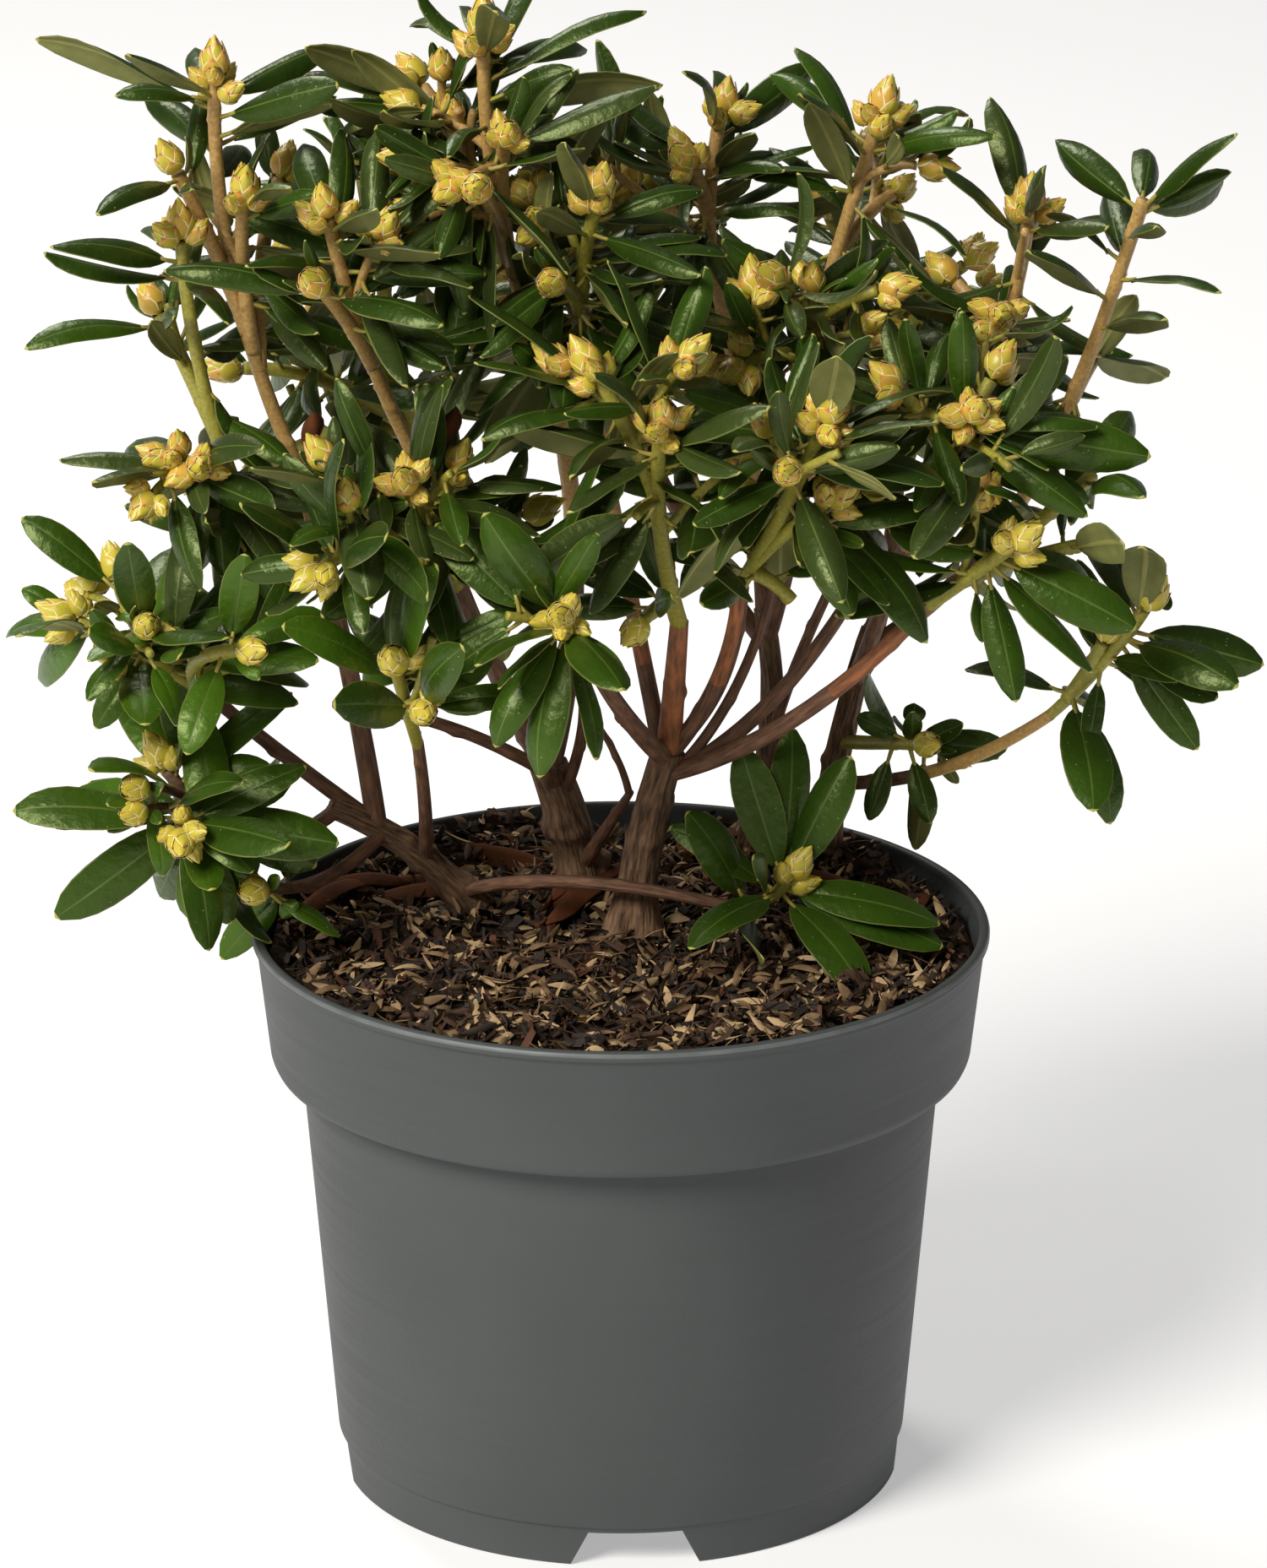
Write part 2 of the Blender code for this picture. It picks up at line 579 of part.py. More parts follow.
def grown_tube(name, points, radii, ring, collection):
    """The same tube a gap larger all round, which its neighbours are cut with."""
    count = len(ring.data.splines[0].points)
    margin = GAP / math.cos(math.pi / count)
    first = points[0] - (points[1] - points[0]).normalized() * GAP
    last = points[-1] + (points[-1] - points[-2]).normalized() * GAP
    wider = [radius + margin for radius in radii]
    return tube(name, [first, *points[1:-1], last], wider, ring, collection)


def route_limbs():
    """The middle line and the radii of every trunk and bough, by name."""
    routes = {}
    radii = {}
    for name, limb in {**TRUNKS, **BOUGHS}.items():
        if limb.parent is None:
            start = mm(limb.foot).to_3d()
            start.z = SOIL_TOP + GAP
        else:
            start = along(routes[limb.parent], limb.at)[0]
        tip = mm(limb.tip)
        count = 5 if (tip - start).length < LONG_LIMB else 6
        routes[name] = arc(start, tip, mm(limb.bow), count)
        radii[name] = limb_radii(limb, count)
    return routes, radii


def flat_foot(trunk):
    """Lay the trunk's lowest ring flat at ground level."""
    for vert in sorted(trunk.data.vertices, key=lambda vert: vert.co.z)[:BARK_SIDES]:
        vert.co.z = SOIL_TOP + GAP


def build_limbs(parts, cutters, ring):
    """Trunks and boughs. Each bough is cut clear of its parent and of the limbs beside its foot."""
    routes, radii = route_limbs()
    done = []
    for name in routes:
        limb = tube(name, routes[name], radii[name], ring, parts)
        if name in TRUNKS:
            flat_foot(limb)
            done.append(name)
            continue
        for other in done:
            if routes_touch(routes, radii, name, other):
                cutter = grown_tube(f"cut_{name}", routes[other], radii[other], ring, cutters)
                difference(limb, cutter)
                baked(limb)
                bpy.data.objects.remove(cutter)
        keep_largest_body(limb.data)
        done.append(name)
    for name in routes:
        limb = bpy.data.objects[name]
        limb.data.shade_smooth()
        limb.data.set_sharp_from_angle(angle=math.radians(50))
        paint(limb, BARK_LOOK)
    return routes, radii


def samples(points, radii):
    """Places and radii at an even spacing along a route."""
    found = []
    for a, b, ra, rb in zip(points, points[1:], radii, radii[1:]):
        steps = max(int((b - a).length / SAMPLE_SPACING), 1)
        for i in range(steps):
            t = i / steps
            found.append((a.lerp(b, t), ra + (rb - ra) * t))
    found.append((points[-1], radii[-1]))
    return found


def routes_touch(routes, radii, name, other):
    own = samples(routes[name], radii[name])
    theirs = samples(routes[other], radii[other])
    return any((a - b).length < ra + rb + 3 * GAP for a, ra in own for b, rb in theirs)


class Keepout:
    """Round samples of what is already there, asked whether a new route stays clear of it."""

    def __init__(self):
        self.rows = []
        self.tree = None

    def add(self, owner, points, radii):
        self.rows += [(place, radius, owner) for place, radius in samples(points, radii)]
        self.tree = KDTree(len(self.rows))
        for i, row in enumerate(self.rows):
            self.tree.insert(row[0], i)
        self.tree.balance()

    def clear(self, points, radii, ignore, reach=0.012):
        for place, radius in samples(points, radii):
            for _, i, distance in self.tree.find_range(place, reach):
                _, other_radius, owner = self.rows[i]
                if owner not in ignore and distance < radius + other_radius + 2 * GAP:
                    return False
        return True


def room_over_pot(points):
    """False where a point dips into the soil or through the pot's wall."""
    for point in points:
        across = math.hypot(point.x, point.y)
        inside = across < RIM_RADIUS + 0.004
        over_wall = inside and across > RIM_RADIUS - 0.008
        if inside and point.z < SOIL_TOP + SOIL_CLEARANCE:
            return False
        if over_wall and point.z < POT_HEIGHT + SOIL_CLEARANCE:
            return False
    return True


def twig_foot(mass, index, tip, twigs, routes, radii):
    """Where a twig leaves its limb or the mass's main twig, the way it leaves, and its radius."""
    if index:
        main = twigs[0][0]
        back = tip - along(main, 1)[1] * (main[-1] - main[0]).length * FORK_BACK
        forks = [along(main, i / 20) for i in range(2, 19)]
        place, heading = min(forks, key=lambda fork: (fork[0] - back).length)
        return place, heading, TWIG_TIP_RADIUS * 1.15
    place, heading = along(routes[mass.parent], mass.at)
    limb_radius = radii[mass.parent][-1]
    radius = min(TWIG_FOOT_RADIUS, limb_radius * 0.95)
    aim = (tip - place).normalized()
    if mass.at == 1:
        slant = math.sin(heading.angle(aim))
        return place + heading * (2 * GAP + radius * slant), heading, radius
    return place + aim * (max(radii[mass.parent]) + radius), aim, radius


def plan_twigs(masses, routes, radii, keepout, rng):
    """Route every shoot: the first carries the stem on from its limb, the others fork from it."""
    plans = {}
    for name, mass in masses.items():
        twigs = []
        for index, shoot in enumerate(mass.shoots):
            tip = mm(shoot.tip)
            foot, lead, radius = twig_foot(mass, index, tip, twigs, routes, radii)
            reach = (tip - foot).length
            count = 4 if reach > 0.05 else 3
            bow = lead * reach * 0.12 - (tip - foot) * 0.05
            size = [radius + (TWIG_TIP_RADIUS - radius) * i / (count - 1) for i in range(count)]
            tested = 0 if mass.at < 1 and index == 0 else 1
            for attempt in range(TWIG_TRIES):
                side = Vector([rng.uniform(-1, 1) for _ in range(3)]) * attempt * TWIG_STRAY
                route = arc(foot, tip, bow + side, count)
                clear = keepout.clear(route[tested:], size[tested:], {mass.parent, name})
                if clear and room_over_pot(route):
                    twigs.append((route, size, shoot))
                    keepout.add(name, route, size)
                    break
        plans[name] = twigs
    return plans


def settled(work):
    """Number the corners and faces of a piece, and turn its faces outwards."""
    work.verts.index_update()
    work.faces.index_update()
    bmesh.ops.recalc_face_normals(work, faces=work.faces)
    return work


def leaf(root, reach, up, width):
    """A thin leaf with a ridge on top, as two three-cornered rings between its root and its tip."""
    length = reach.length
    heading = reach / length
    side = heading.cross(up).normalized()
    normal = side.cross(heading).normalized()
    work = bmesh.new()
    bmesh.ops.create_uvsphere(work, u_segments=3, v_segments=3, radius=1)
    for vert in work.verts:
        x, y, z = vert.co
        if abs(z) > 0.9:
            share, across, ridge = (1 if z > 0 else 0), 0, 0
        else:
            share = OUTER_RING if z > 0 else INNER_RING
            across = 0 if x > 0.1 else math.copysign(1, y)
            ridge = LEAF_THICKNESS if x > 0.1 else 0
        rise = LEAF_ARCH * length * 4 * share * (1 - share) + ridge
        vert.co = root + reach * share + side * across * width / 2 + normal * rise
    return settled(work)


def bud(foot, heading, length, radius):
    """A pointed bud as two four-sided cones, foot to foot, sunk a little in its twig."""
    work = bmesh.new()
    bmesh.ops.create_uvsphere(work, u_segments=4, v_segments=2, radius=1)
    turn = heading.to_track_quat("Z", "X")
    for vert in work.verts:
        x, y, z = vert.co
        height = BUD_SHOULDER
        if abs(z) > 0.5:
            height = 1 if z > 0 else -0.05
        vert.co = foot + turn @ Vector((x * radius, y * radius, height * length))
    return settled(work)


def tree_of(pieces):
    """One search tree over the faces of several pieces."""
    corners = []
    faces = []
    for piece in pieces:
        first = len(corners)
        corners += [vert.co.copy() for vert in piece.verts]
        faces += [[first + vert.index for vert in face.verts] for face in piece.faces]
    return BVHTree.FromPolygons(corners, faces)


def tree_of_objects(things):
    pieces = []
    for thing in things:
        work = bmesh.new()
        work.from_mesh(thing.data)
        pieces.append(settled(work))
    return tree_of(pieces)


def marked_leaf(tip, root, across, above, lean):
    """From a leaf's root to its tip, which shows at the given place in the front view.

    Where the leaf shows shorter than a whole one it leans to the front or the back, and its tip
    moves along the line of sight, so that it still shows in the same place.
    """
    up_the_view = Vector((0, math.sin(VIEW_ANGLE), math.cos(VIEW_ANGLE)))
    to_the_viewer = Vector((0, -math.cos(VIEW_ANGLE), math.sin(VIEW_ANGLE)))
    flat = tip + Vector((across, 0, 0)) * MM + up_the_view * above * MM - root
    flat -= to_the_viewer * flat.dot(to_the_viewer)
    spare = (WHOLE_LEAF ** 2 - flat.length_squared) if lean else 0
    return flat + to_the_viewer * math.copysign(math.sqrt(max(spare, 0)), lean)


def leaf_up(heading, outward):
    """The side that a leaf's top faces: upwards and away from the crown's middle."""
    up = Vector((0, 0, 1)) + outward * 0.8
    if abs(heading.normalized().dot(up.normalized())) > 0.9:
        up = outward + Vector((0, -0.3, 0.2))
    return up


def in_front_view(point):
    """Where a point falls in the front view, in millimetres from the view's middle."""
    x, y, z = point - mm(VIEW_MIDDLE)
    depth = VIEW_DISTANCE + y * math.cos(VIEW_ANGLE) - z * math.sin(VIEW_ANGLE)
    nearness = VIEW_DISTANCE / depth / MM
    above = (z * math.cos(VIEW_ANGLE) + y * math.sin(VIEW_ANGLE)) * nearness
    return x * nearness + VIEW_MIDDLE[0], above


def shows_in_a_gap(points):
    """True where any of the points would close one of the gaps that the sky shows through."""
    for point in points:
        across, above = in_front_view(point)
        for x, height, half_width, half_height in SKY_GAPS:
            if ((across - x) / half_width) ** 2 + ((above - height) / half_height) ** 2 < 1:
                return True
    return False


class Crown:
    """The leaves and buds placed so far. A new one must keep clear of every other mass."""

    def __init__(self, limbs, twigs):
        self.limbs = limbs
        self.twigs = twigs
        self.pieces = {name: [] for name in twigs}
        self.trees = {}

    def clear_of_others(self, name, tree):
        if tree.overlap(self.limbs):
            return False
        others = [held[other] for held in (self.twigs, self.trees) for other in held
                  if other != name]
        return not any(tree.overlap(other) for other in others)

    def place(self, name, piece, grown):
        """Keep a piece where its slightly grown copy is clear, and say whether it was."""
        if not room_over_pot([vert.co for vert in grown.verts]):
            return False
        if not self.clear_of_others(name, tree_of([grown])):
            return False
        self.pieces[name].append(piece)
        self.trees[name] = tree_of(self.pieces[name])
        return True

    def add_bud(self, name, foot, heading, scale):
        length, radius = BUD_LENGTH * scale, BUD_RADIUS * scale
        margin = 2 * GAP
        grown = bud(foot, heading, length + margin, radius + margin)
        return self.place(name, bud(foot, heading, length, radius), grown)

    def add_leaf(self, name, root, reach, outward):
        """A leaf that also crosses no other leaf of its own mass beyond its stalk."""
        up = leaf_up(reach, outward)
        blade = reach.length - LEAF_STALK
        width = min(max(blade * LEAF_WIDTH_SHARE, LEAST_LEAF_WIDTH), MOST_LEAF_WIDTH)
        heading = reach.normalized()
        own = leaf(root + heading * LEAF_STALK, heading * blade, up, width)
        if name in self.trees and tree_of([own]).overlap(self.trees[name]):
            return False
        grown = leaf(root, reach + heading * 2 * GAP, up, width + 4 * GAP)
        return self.place(name, leaf(root, reach, up, width), grown)


def add_buds(crown, name, route, shoot):
    """One bud on the shoot's tip and the others round it, a little lower."""
    tip, heading = along(route, 1)
    for k in range(min((shoot.buds + 1) // 2, BUDS_PER_SHOOT)):
        across = heading.orthogonal().normalized()
        across.rotate(Matrix.Rotation(GOLDEN_TURN * k, 3, heading))
        way = heading if k == 0 else (heading * 0.75 + across).normalized()
        crown.add_bud(name, tip - heading * 0.002 * k, way, 1 if k == 0 else 0.85)


def root_of(route, down):
    """The place on a twig this far below its tip."""
    span = sum((b - a).length for a, b in zip(route, route[1:]))
    return along(route, 1 - min(down / span, 0.9))[0]


def add_marked_leaves(crown, name, route, shoot):
    """The leaves that draw the outline. One that is blocked leans less, or the other way."""
    for across, above, lean, down in shoot.leaves:
        root = root_of(route, down * MM)
        flat = marked_leaf(route[-1], root, across, above, 0)
        leaning = marked_leaf(route[-1], root, across, above, lean)
        for share in LEANS_TRIED:
            reach = flat + (leaning - flat) * share
            if crown.add_leaf(name, root, reach, Vector((0, -1, 0))):
                break


def add_spray_leaves(crown, name, route, shoot, space, rng):
    """A seeded spiral of leaves down the shoot, wherever the marked ones leave room."""
    middle, room = space
    wanted = max(LEAVES_PER_SHOOT - len(shoot.leaves), FEWEST_SPRAY_LEAVES)
    axis = along(route, 1)[1]
    marked = [marked_leaf(route[-1], root_of(route, down * MM), across, above, lean)
              for across, above, lean, down in shoot.leaves]
    start_turn = rng.uniform(0, 2 * math.pi)
    for k in range(wanted + SPARE_TRIES):
        across = axis.orthogonal().normalized()
        across.rotate(Matrix.Rotation(start_turn + GOLDEN_TURN * k, 3, axis))
        spread = math.radians(rng.uniform(NARROWEST_SPREAD, WIDEST_SPREAD))
        length = LEAF_STALK + SPRAY_LEAF * rng.uniform(0.82, 1.06)
        reach = (axis * math.cos(spread) + across * math.sin(spread)) * length
        root = root_of(route, FIRST_LEAF_DOWN + LEAF_SPACING * k)
        outward = Vector((root.x, root.y - 0.02, 0)).normalized()
        shown = [root + reach * share for share in (0.3, 0.5, 0.75, 1)]
        if any(reach.angle(other) < CLOSEST_LEAVES for other in marked):
            continue
        if (root + reach - middle).length > room or shows_in_a_gap(shown):
            continue
        if crown.add_leaf(name, root, reach, outward):
            wanted -= 1
        if wanted == 0:
            break


def fill_crown(plans, limbs, twigs, rng):
    """Buds first, then the marked leaves, then the seeded ones, so that the outline comes first."""
    crown = Crown(limbs, twigs)
    for name, twigs_of_mass in plans.items():
        for route, _, shoot in twigs_of_mass:
            add_buds(crown, name, route, shoot)
    for name, twigs_of_mass in plans.items():
        for route, _, shoot in twigs_of_mass:
            add_marked_leaves(crown, name, route, shoot)
    for name, twigs_of_mass in plans.items():
        tips = [route[-1] for route, _, _ in twigs_of_mass]
        middle = sum(tips, Vector()) / len(tips)
        room = max((tip - middle).length for tip in tips) + SPACE_MARGIN
        for route, _, shoot in twigs_of_mass:
            add_spray_leaves(crown, name, route, shoot, (middle, room), rng)
    return crown.pieces


def united(stem, loose):
    """The stem joined with everything in the collection, as one closed body."""
    union = stem.modifiers.new("join", "BOOLEAN")
    union.operation = "UNION"
    union.operand_type = "COLLECTION"
    union.collection = loose
    for solver in ("EXACT", "MANIFOLD"):
        union.solver = solver
        graph = bpy.context.evaluated_depsgraph_get()
        joined = bpy.data.meshes.new_from_object(stem.evaluated_get(graph))
        if keep_largest_body(joined):
            break
    return joined


def build_mass(name, twigs, pieces, ring, parts):
    """Join a mass's twigs, buds and leaves into one solid by a single union."""
    loose = new_collection(f"{name}_pieces")
    tubes = [tube(f"{name}_twig_{i}", route, size, ring, loose)
             for i, (route, size, _) in enumerate(twigs)]
    stem = tubes[0]
    loose.objects.unlink(stem)
    parts.objects.link(stem)
    for i, piece in enumerate(pieces):
        mesh = bpy.data.meshes.new(f"{name}_piece_{i}")
        piece.to_mesh(mesh)
        add_object(mesh.name, mesh, loose)
    joined = united(stem, loose)
    stem.modifiers.clear()
    stem.data = joined
    stem.name = name
    joined.name = name
    for thing in list(loose.objects):
        bpy.data.objects.remove(thing)
    bpy.data.collections.remove(loose)
    paint(stem, LEAF_LOOK)


def twig_tree(twigs, ring, collection):
    """A search tree over a mass's twigs, each a little thicker than it is."""
    probes = [tube("probe", route, [radius + 2 * GAP for radius in size], ring, collection)
              for route, size, _ in twigs]
    tree = tree_of_objects(probes)
    for probe in probes:
        bpy.data.objects.remove(probe)
    return tree


def main():
    clear_scene()
    rng = random.Random(SEED)
    parts = new_collection("rhododendron")
    cutters = new_collection("cutters")
    bark_ring = ring_curve(BARK_SIDES, cutters)
    twig_ring = ring_curve(3, cutters)
    build_pot(parts, cutters)
    build_soil(parts)
    routes, radii = build_limbs(parts, cutters, bark_ring)
    keepout = Keepout()
    for name in routes:
        keepout.add(name, routes[name], radii[name])
    plans = plan_twigs(MASSES, routes, radii, keepout, rng)
    limbs = tree_of_objects([bpy.data.objects[name] for name in routes])
    twigs = {name: twig_tree(plan, twig_ring, cutters) for name, plan in plans.items()}
    pieces = fill_crown(plans, limbs, twigs, rng)
    for name, plan in plans.items():
        build_mass(name, plan, pieces[name], twig_ring, parts)


main()
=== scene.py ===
"""The looks of a young rhododendron in its nursery pot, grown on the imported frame.

Metres, +Z up, and the front faces -Y. Each mass of leaves grows again here by the rule of the
solids, with more leaves, more twigs and whole clusters of buds. Rows below give places in
millimetres, and mm() turns them into metres.
"""
import json
import math
import random
from collections import namedtuple

import bpy
import numpy as np
from mathutils import Matrix, Vector
from mathutils.bvhtree import BVHTree

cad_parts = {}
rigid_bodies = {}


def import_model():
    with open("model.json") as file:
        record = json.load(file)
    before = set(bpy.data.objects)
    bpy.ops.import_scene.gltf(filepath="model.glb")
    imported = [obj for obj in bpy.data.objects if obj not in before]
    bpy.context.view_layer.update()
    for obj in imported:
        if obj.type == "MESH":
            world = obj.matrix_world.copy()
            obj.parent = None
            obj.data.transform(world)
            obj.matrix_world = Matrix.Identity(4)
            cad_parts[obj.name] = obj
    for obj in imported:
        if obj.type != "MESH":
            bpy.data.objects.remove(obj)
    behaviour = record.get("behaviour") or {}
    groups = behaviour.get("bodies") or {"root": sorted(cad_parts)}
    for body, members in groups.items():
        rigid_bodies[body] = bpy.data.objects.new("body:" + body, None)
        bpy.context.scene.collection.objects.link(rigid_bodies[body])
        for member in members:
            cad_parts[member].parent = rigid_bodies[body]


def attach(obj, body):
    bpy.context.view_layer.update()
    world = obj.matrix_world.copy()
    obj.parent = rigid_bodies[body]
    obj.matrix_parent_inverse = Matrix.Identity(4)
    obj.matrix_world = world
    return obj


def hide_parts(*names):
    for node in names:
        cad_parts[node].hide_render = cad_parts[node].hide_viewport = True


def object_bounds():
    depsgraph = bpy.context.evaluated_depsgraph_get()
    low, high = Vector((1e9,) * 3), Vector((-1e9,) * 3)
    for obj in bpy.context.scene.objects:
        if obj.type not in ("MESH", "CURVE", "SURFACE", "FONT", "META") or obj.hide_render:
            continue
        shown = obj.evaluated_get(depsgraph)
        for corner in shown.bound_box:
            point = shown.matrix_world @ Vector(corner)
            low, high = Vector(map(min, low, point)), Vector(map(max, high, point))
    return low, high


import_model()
cad_low, cad_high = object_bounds()

MM = 0.001
SEED = 23

# In radians: the turn from one leaf to the next, and the most that a seeded turn can be
GOLDEN_TURN = 2.4
FULL_TURN = 6.3

# The camera, fitted to the pot's ellipses in the photograph
SENSOR = 36.0
LENS = 185.3
VIEW_DISTANCE = 2.5
VIEW_ANGLE = math.radians(19.15)
VIEW_MIDDLE = (4, 0, 225)

# Pot and soil, in metres
RIM_RADIUS = 0.115
POT_HEIGHT = 0.180
BAND_HEIGHT = 0.0435
BAND_FOOT_RADIUS = 0.1095
BODY_TOP_RADIUS = 0.1000
BODY_FOOT_RADIUS = 0.0897
FOOT_HEIGHT = 0.0135
FOOT_RADIUS = 0.0886
FOOT_TAPER = 0.0008
LIP = 0.0032
WALL = 0.0018
ROUNDING = 0.0005
# A paler band along the rim's outer edge, a painted highlight: how far down from the top and how far
# in from the edge it reaches
HIGHLIGHT_DROP = 0.0013
HIGHLIGHT_WIDTH = 0.0009
DISC_RADIUS = 0.050
CHANNEL_HEIGHT = 0.0125
CHANNEL_SLOPE = 0.008
NOTCH_COUNT = 4
NOTCH_TOP_WIDTH = 0.029
NOTCH_FOOT_WIDTH = 0.042
NOTCH_HEIGHT = 0.0115
NOTCH_DEPTH = 0.008
NOTCH_TURN = math.radians(3.0)
POT_SIDES = 168
SOIL_TOP = 0.1730
SOIL_EDGE = 0.1105
SOIL_RINGS = 46
SOIL_SIDES = 150

# The compost's surface in metres: waves as their height, their run in x and y and their start, and
# mounds as their height, their place and how far they spread. The last mound is a hollow.
SOIL_WAVES = [(0.0013, 61, 40, 0), (0.0012, -83, 97, 1), (0.0011, 190, 60, 2), (0.0011, -90, 230, 0)]
SOIL_MOUNDS = [(0.0045, -0.055, 0.085, 0.0006), (0.0035, 0.060, 0.088, 0.0009),
               (-0.0030, -0.012, 0.005, 0.0016)]
HUSKS = 2500
CHIPS = 2200
FIBRES = 420

# Leaves, in metres
LEAF_STALK = 0.006
WHOLE_LEAF = 0.046
NARROW_LEAF = 0.0075
BROAD_LEAF = 0.0160
UPPER_WIDTH_SHARE = 0.26
LOWER_WIDTH_SHARE = 0.38
UPPER_CROWN = 0.40
LOWER_CROWN = 0.27
LEAF_THICKNESS = 0.00042
SPACE_MARGIN = 0.052

# How leaves and buds stand on a shoot
LEAVES_PER_SHOOT = 8
LEAVES_PER_SIDE_SHOOT = 6
SIDE_SHOOTS = 2
MANY_MARKED = 7
FIRST_LEAF_DOWN = 0.0055
LEAF_SPACING = 0.0038
LEAF_TRIES = 4
YOUNG_LEAVES = 4
MARKED_TRIES = (1, 1, 0.85, 0.7, 0.5, 0.3, 0.1, 0, -0.5, -1, 1, 0.6, 0.2, -0.3)
BUD_LENGTH = 0.0128
BUD_RADIUS = 0.0040

# Twigs, in metres, and how far below its tip a shoot forks, as a share of its mass's stem
TWIG_FOOT_RADIUS = 0.0024
TWIG_TIP_RADIUS = 0.0021
SIDE_SHOOT_RADIUS = 0.0014
FORK_BACK = 0.45

# Stems that show bare, in millimetres: where they start below a shoot's tip, and how near side
# shoots and leaves come to them in the front view
BARE_FROM = 14
SHOOT_MARGIN = 5.5
STEM_MARGIN = 3.3

# A limb: the limb it grows from, how far along it, its tip and the bow at its middle in
# millimetres, and its radius at both ends. A trunk also has the place and the flare of its foot.
Limb = namedtuple("Limb", "parent at tip bow radii foot flare", defaults=(None, 1))

TRUNKS = {
    "trunk_left": Limb(None, 0, (-23, 38, 218), (1, 2, 0), (7.6, 5.8), (-12, 46), 1.45),
    "trunk_right": Limb(None, 0, (15, 2, 236), (-2, 0, 0), (6.4, 5.2), (4, 9), 1.55),
    "trunk_low": Limb(None, 0, (-90, 11, 214), (4, 0, 2), (5.2, 3.4), (-47, 31), 1.30),
    "trunk_rear": Limb(None, 0, (45, 58, 264), (5, 0, 0), (4.4, 3.0), (40, 80), 1.40),
    "trunk_rear_right": Limb(None, 0, (79, 60, 256), (-2, 3, 0), (4.8, 3.4), (64, 68), 1.40),
}

BOUGHS = {
    "bough_top": Limb("trunk_left", 0.97, (-24, 12, 360), (9, 8, 0), (3.6, 2.4)),
    "bough_upper_left": Limb("trunk_left", 0.90, (-62, -3, 331), (-3, 8, -4), (3.2, 2.2)),
    "bough_front_left": Limb("trunk_left", 0.78, (-50, -25, 298), (1, -5, 0), (3.0, 2.2)),
    "bough_rear_left": Limb("trunk_left", 0.80, (-62, 78, 302), (-2, 8, -8), (3.0, 2.2)),
    "bough_centre": Limb("trunk_right", 0.98, (18, -17, 284), (0, -2, 0), (3.9, 2.8)),
    "bough_middle": Limb("trunk_right", 0.92, (-10, -6, 358), (0, 9, -4), (2.8, 2.2)),
    "bough_front": Limb("trunk_right", 0.95, (-8, -50, 280), (0, -2, -2), (3.4, 2.2)),
    "bough_right": Limb("trunk_right", 0.86, (94, -31, 294), (0, -1, -9), (3.0, 2.2)),
    "bough_right_inner": Limb("trunk_right", 0.95, (36, -26, 298), (5, 1, -2), (2.6, 2.2)),
    "bough_rise": Limb("trunk_low", 0.75, (-99, 2, 328), (2, 2, 0), (3.4, 2.3)),
    "bough_outer_left": Limb("bough_rise", 0.45, (-113, -4, 312), (-4, 0, -4), (2.4, 2.0)),
    "bough_reach_left": Limb("trunk_low", 0.55, (-126, -6, 256), (-4, 0, 2), (2.6, 2.0)),
    "bough_low_front": Limb("trunk_low", 0.42, (-62, -27, 248), (1, 0, -2), (2.3, 1.9)),
    "bough_low_left": Limb("trunk_low", 0.97, (-121, -12, 212), (0, 0, -5), (2.4, 2.0)),
    "bough_low_spur": Limb("trunk_low", 0.70, (-103, -17, 197), (0, -3, -3), (2.2, 1.9)),
    "runner": Limb("trunk_low", 0.12, (39, -12, 188), (-8, -10, 10), (2.2, 1.8)),
    "bough_rear_top": Limb("trunk_rear", 0.98, (28, 50, 378), (3, 4, 0), (2.9, 2.2)),
    "bough_rear_right_top": Limb("trunk_rear", 0.94, (65, 43, 379), (5, 6, 0), (2.7, 2.2)),
    "bough_inner": Limb("trunk_rear", 0.88, (57, 16, 342), (2, -6, 0), (2.7, 2.2)),
    "bough_rear_middle": Limb("trunk_rear", 0.84, (2, 92, 318), (-2, 8, -4), (2.8, 2.2)),
    "bough_high_right": Limb("trunk_rear_right", 0.97, (114, 42, 346), (0, 6, 0), (2.9, 2.2)),
    "bough_far_right": Limb("trunk_rear_right", 0.91, (136, 17, 338), (6, 6, -8), (2.8, 2.2)),
    "bough_fore_right": Limb("trunk_rear_right", 0.78, (93, -8, 320), (-2, -2, -4), (2.8, 2.2)),
    "bough_reach_right": Limb("trunk_rear_right", 0.35, (133, 0, 248), (0, -2, -6), (2.3, 1.8)),
    "bough_rear_side": Limb("trunk_rear_right", 0.70, (88, 98, 302), (4, 6, -6), (2.8, 2.2)),
}

# A shoot: its tip in millimetres, its number of buds, and the leaves that mark its outline in the
# front view. Each of those has its own tip, to the right of and above the shoot's tip as that
# view shows it, then 1 where it leans to the front, -1 to the back or 0 for neither, and how far
# below the shoot's tip it grows.
Shoot = namedtuple("Shoot", "tip buds leaves", defaults=((),))

# A mass of foliage: the limb its stem goes on from, how far along it, and its shoots. The first
# shoot carries the stem on, and the others branch from it.
Mass = namedtuple("Mass", "parent at shoots")

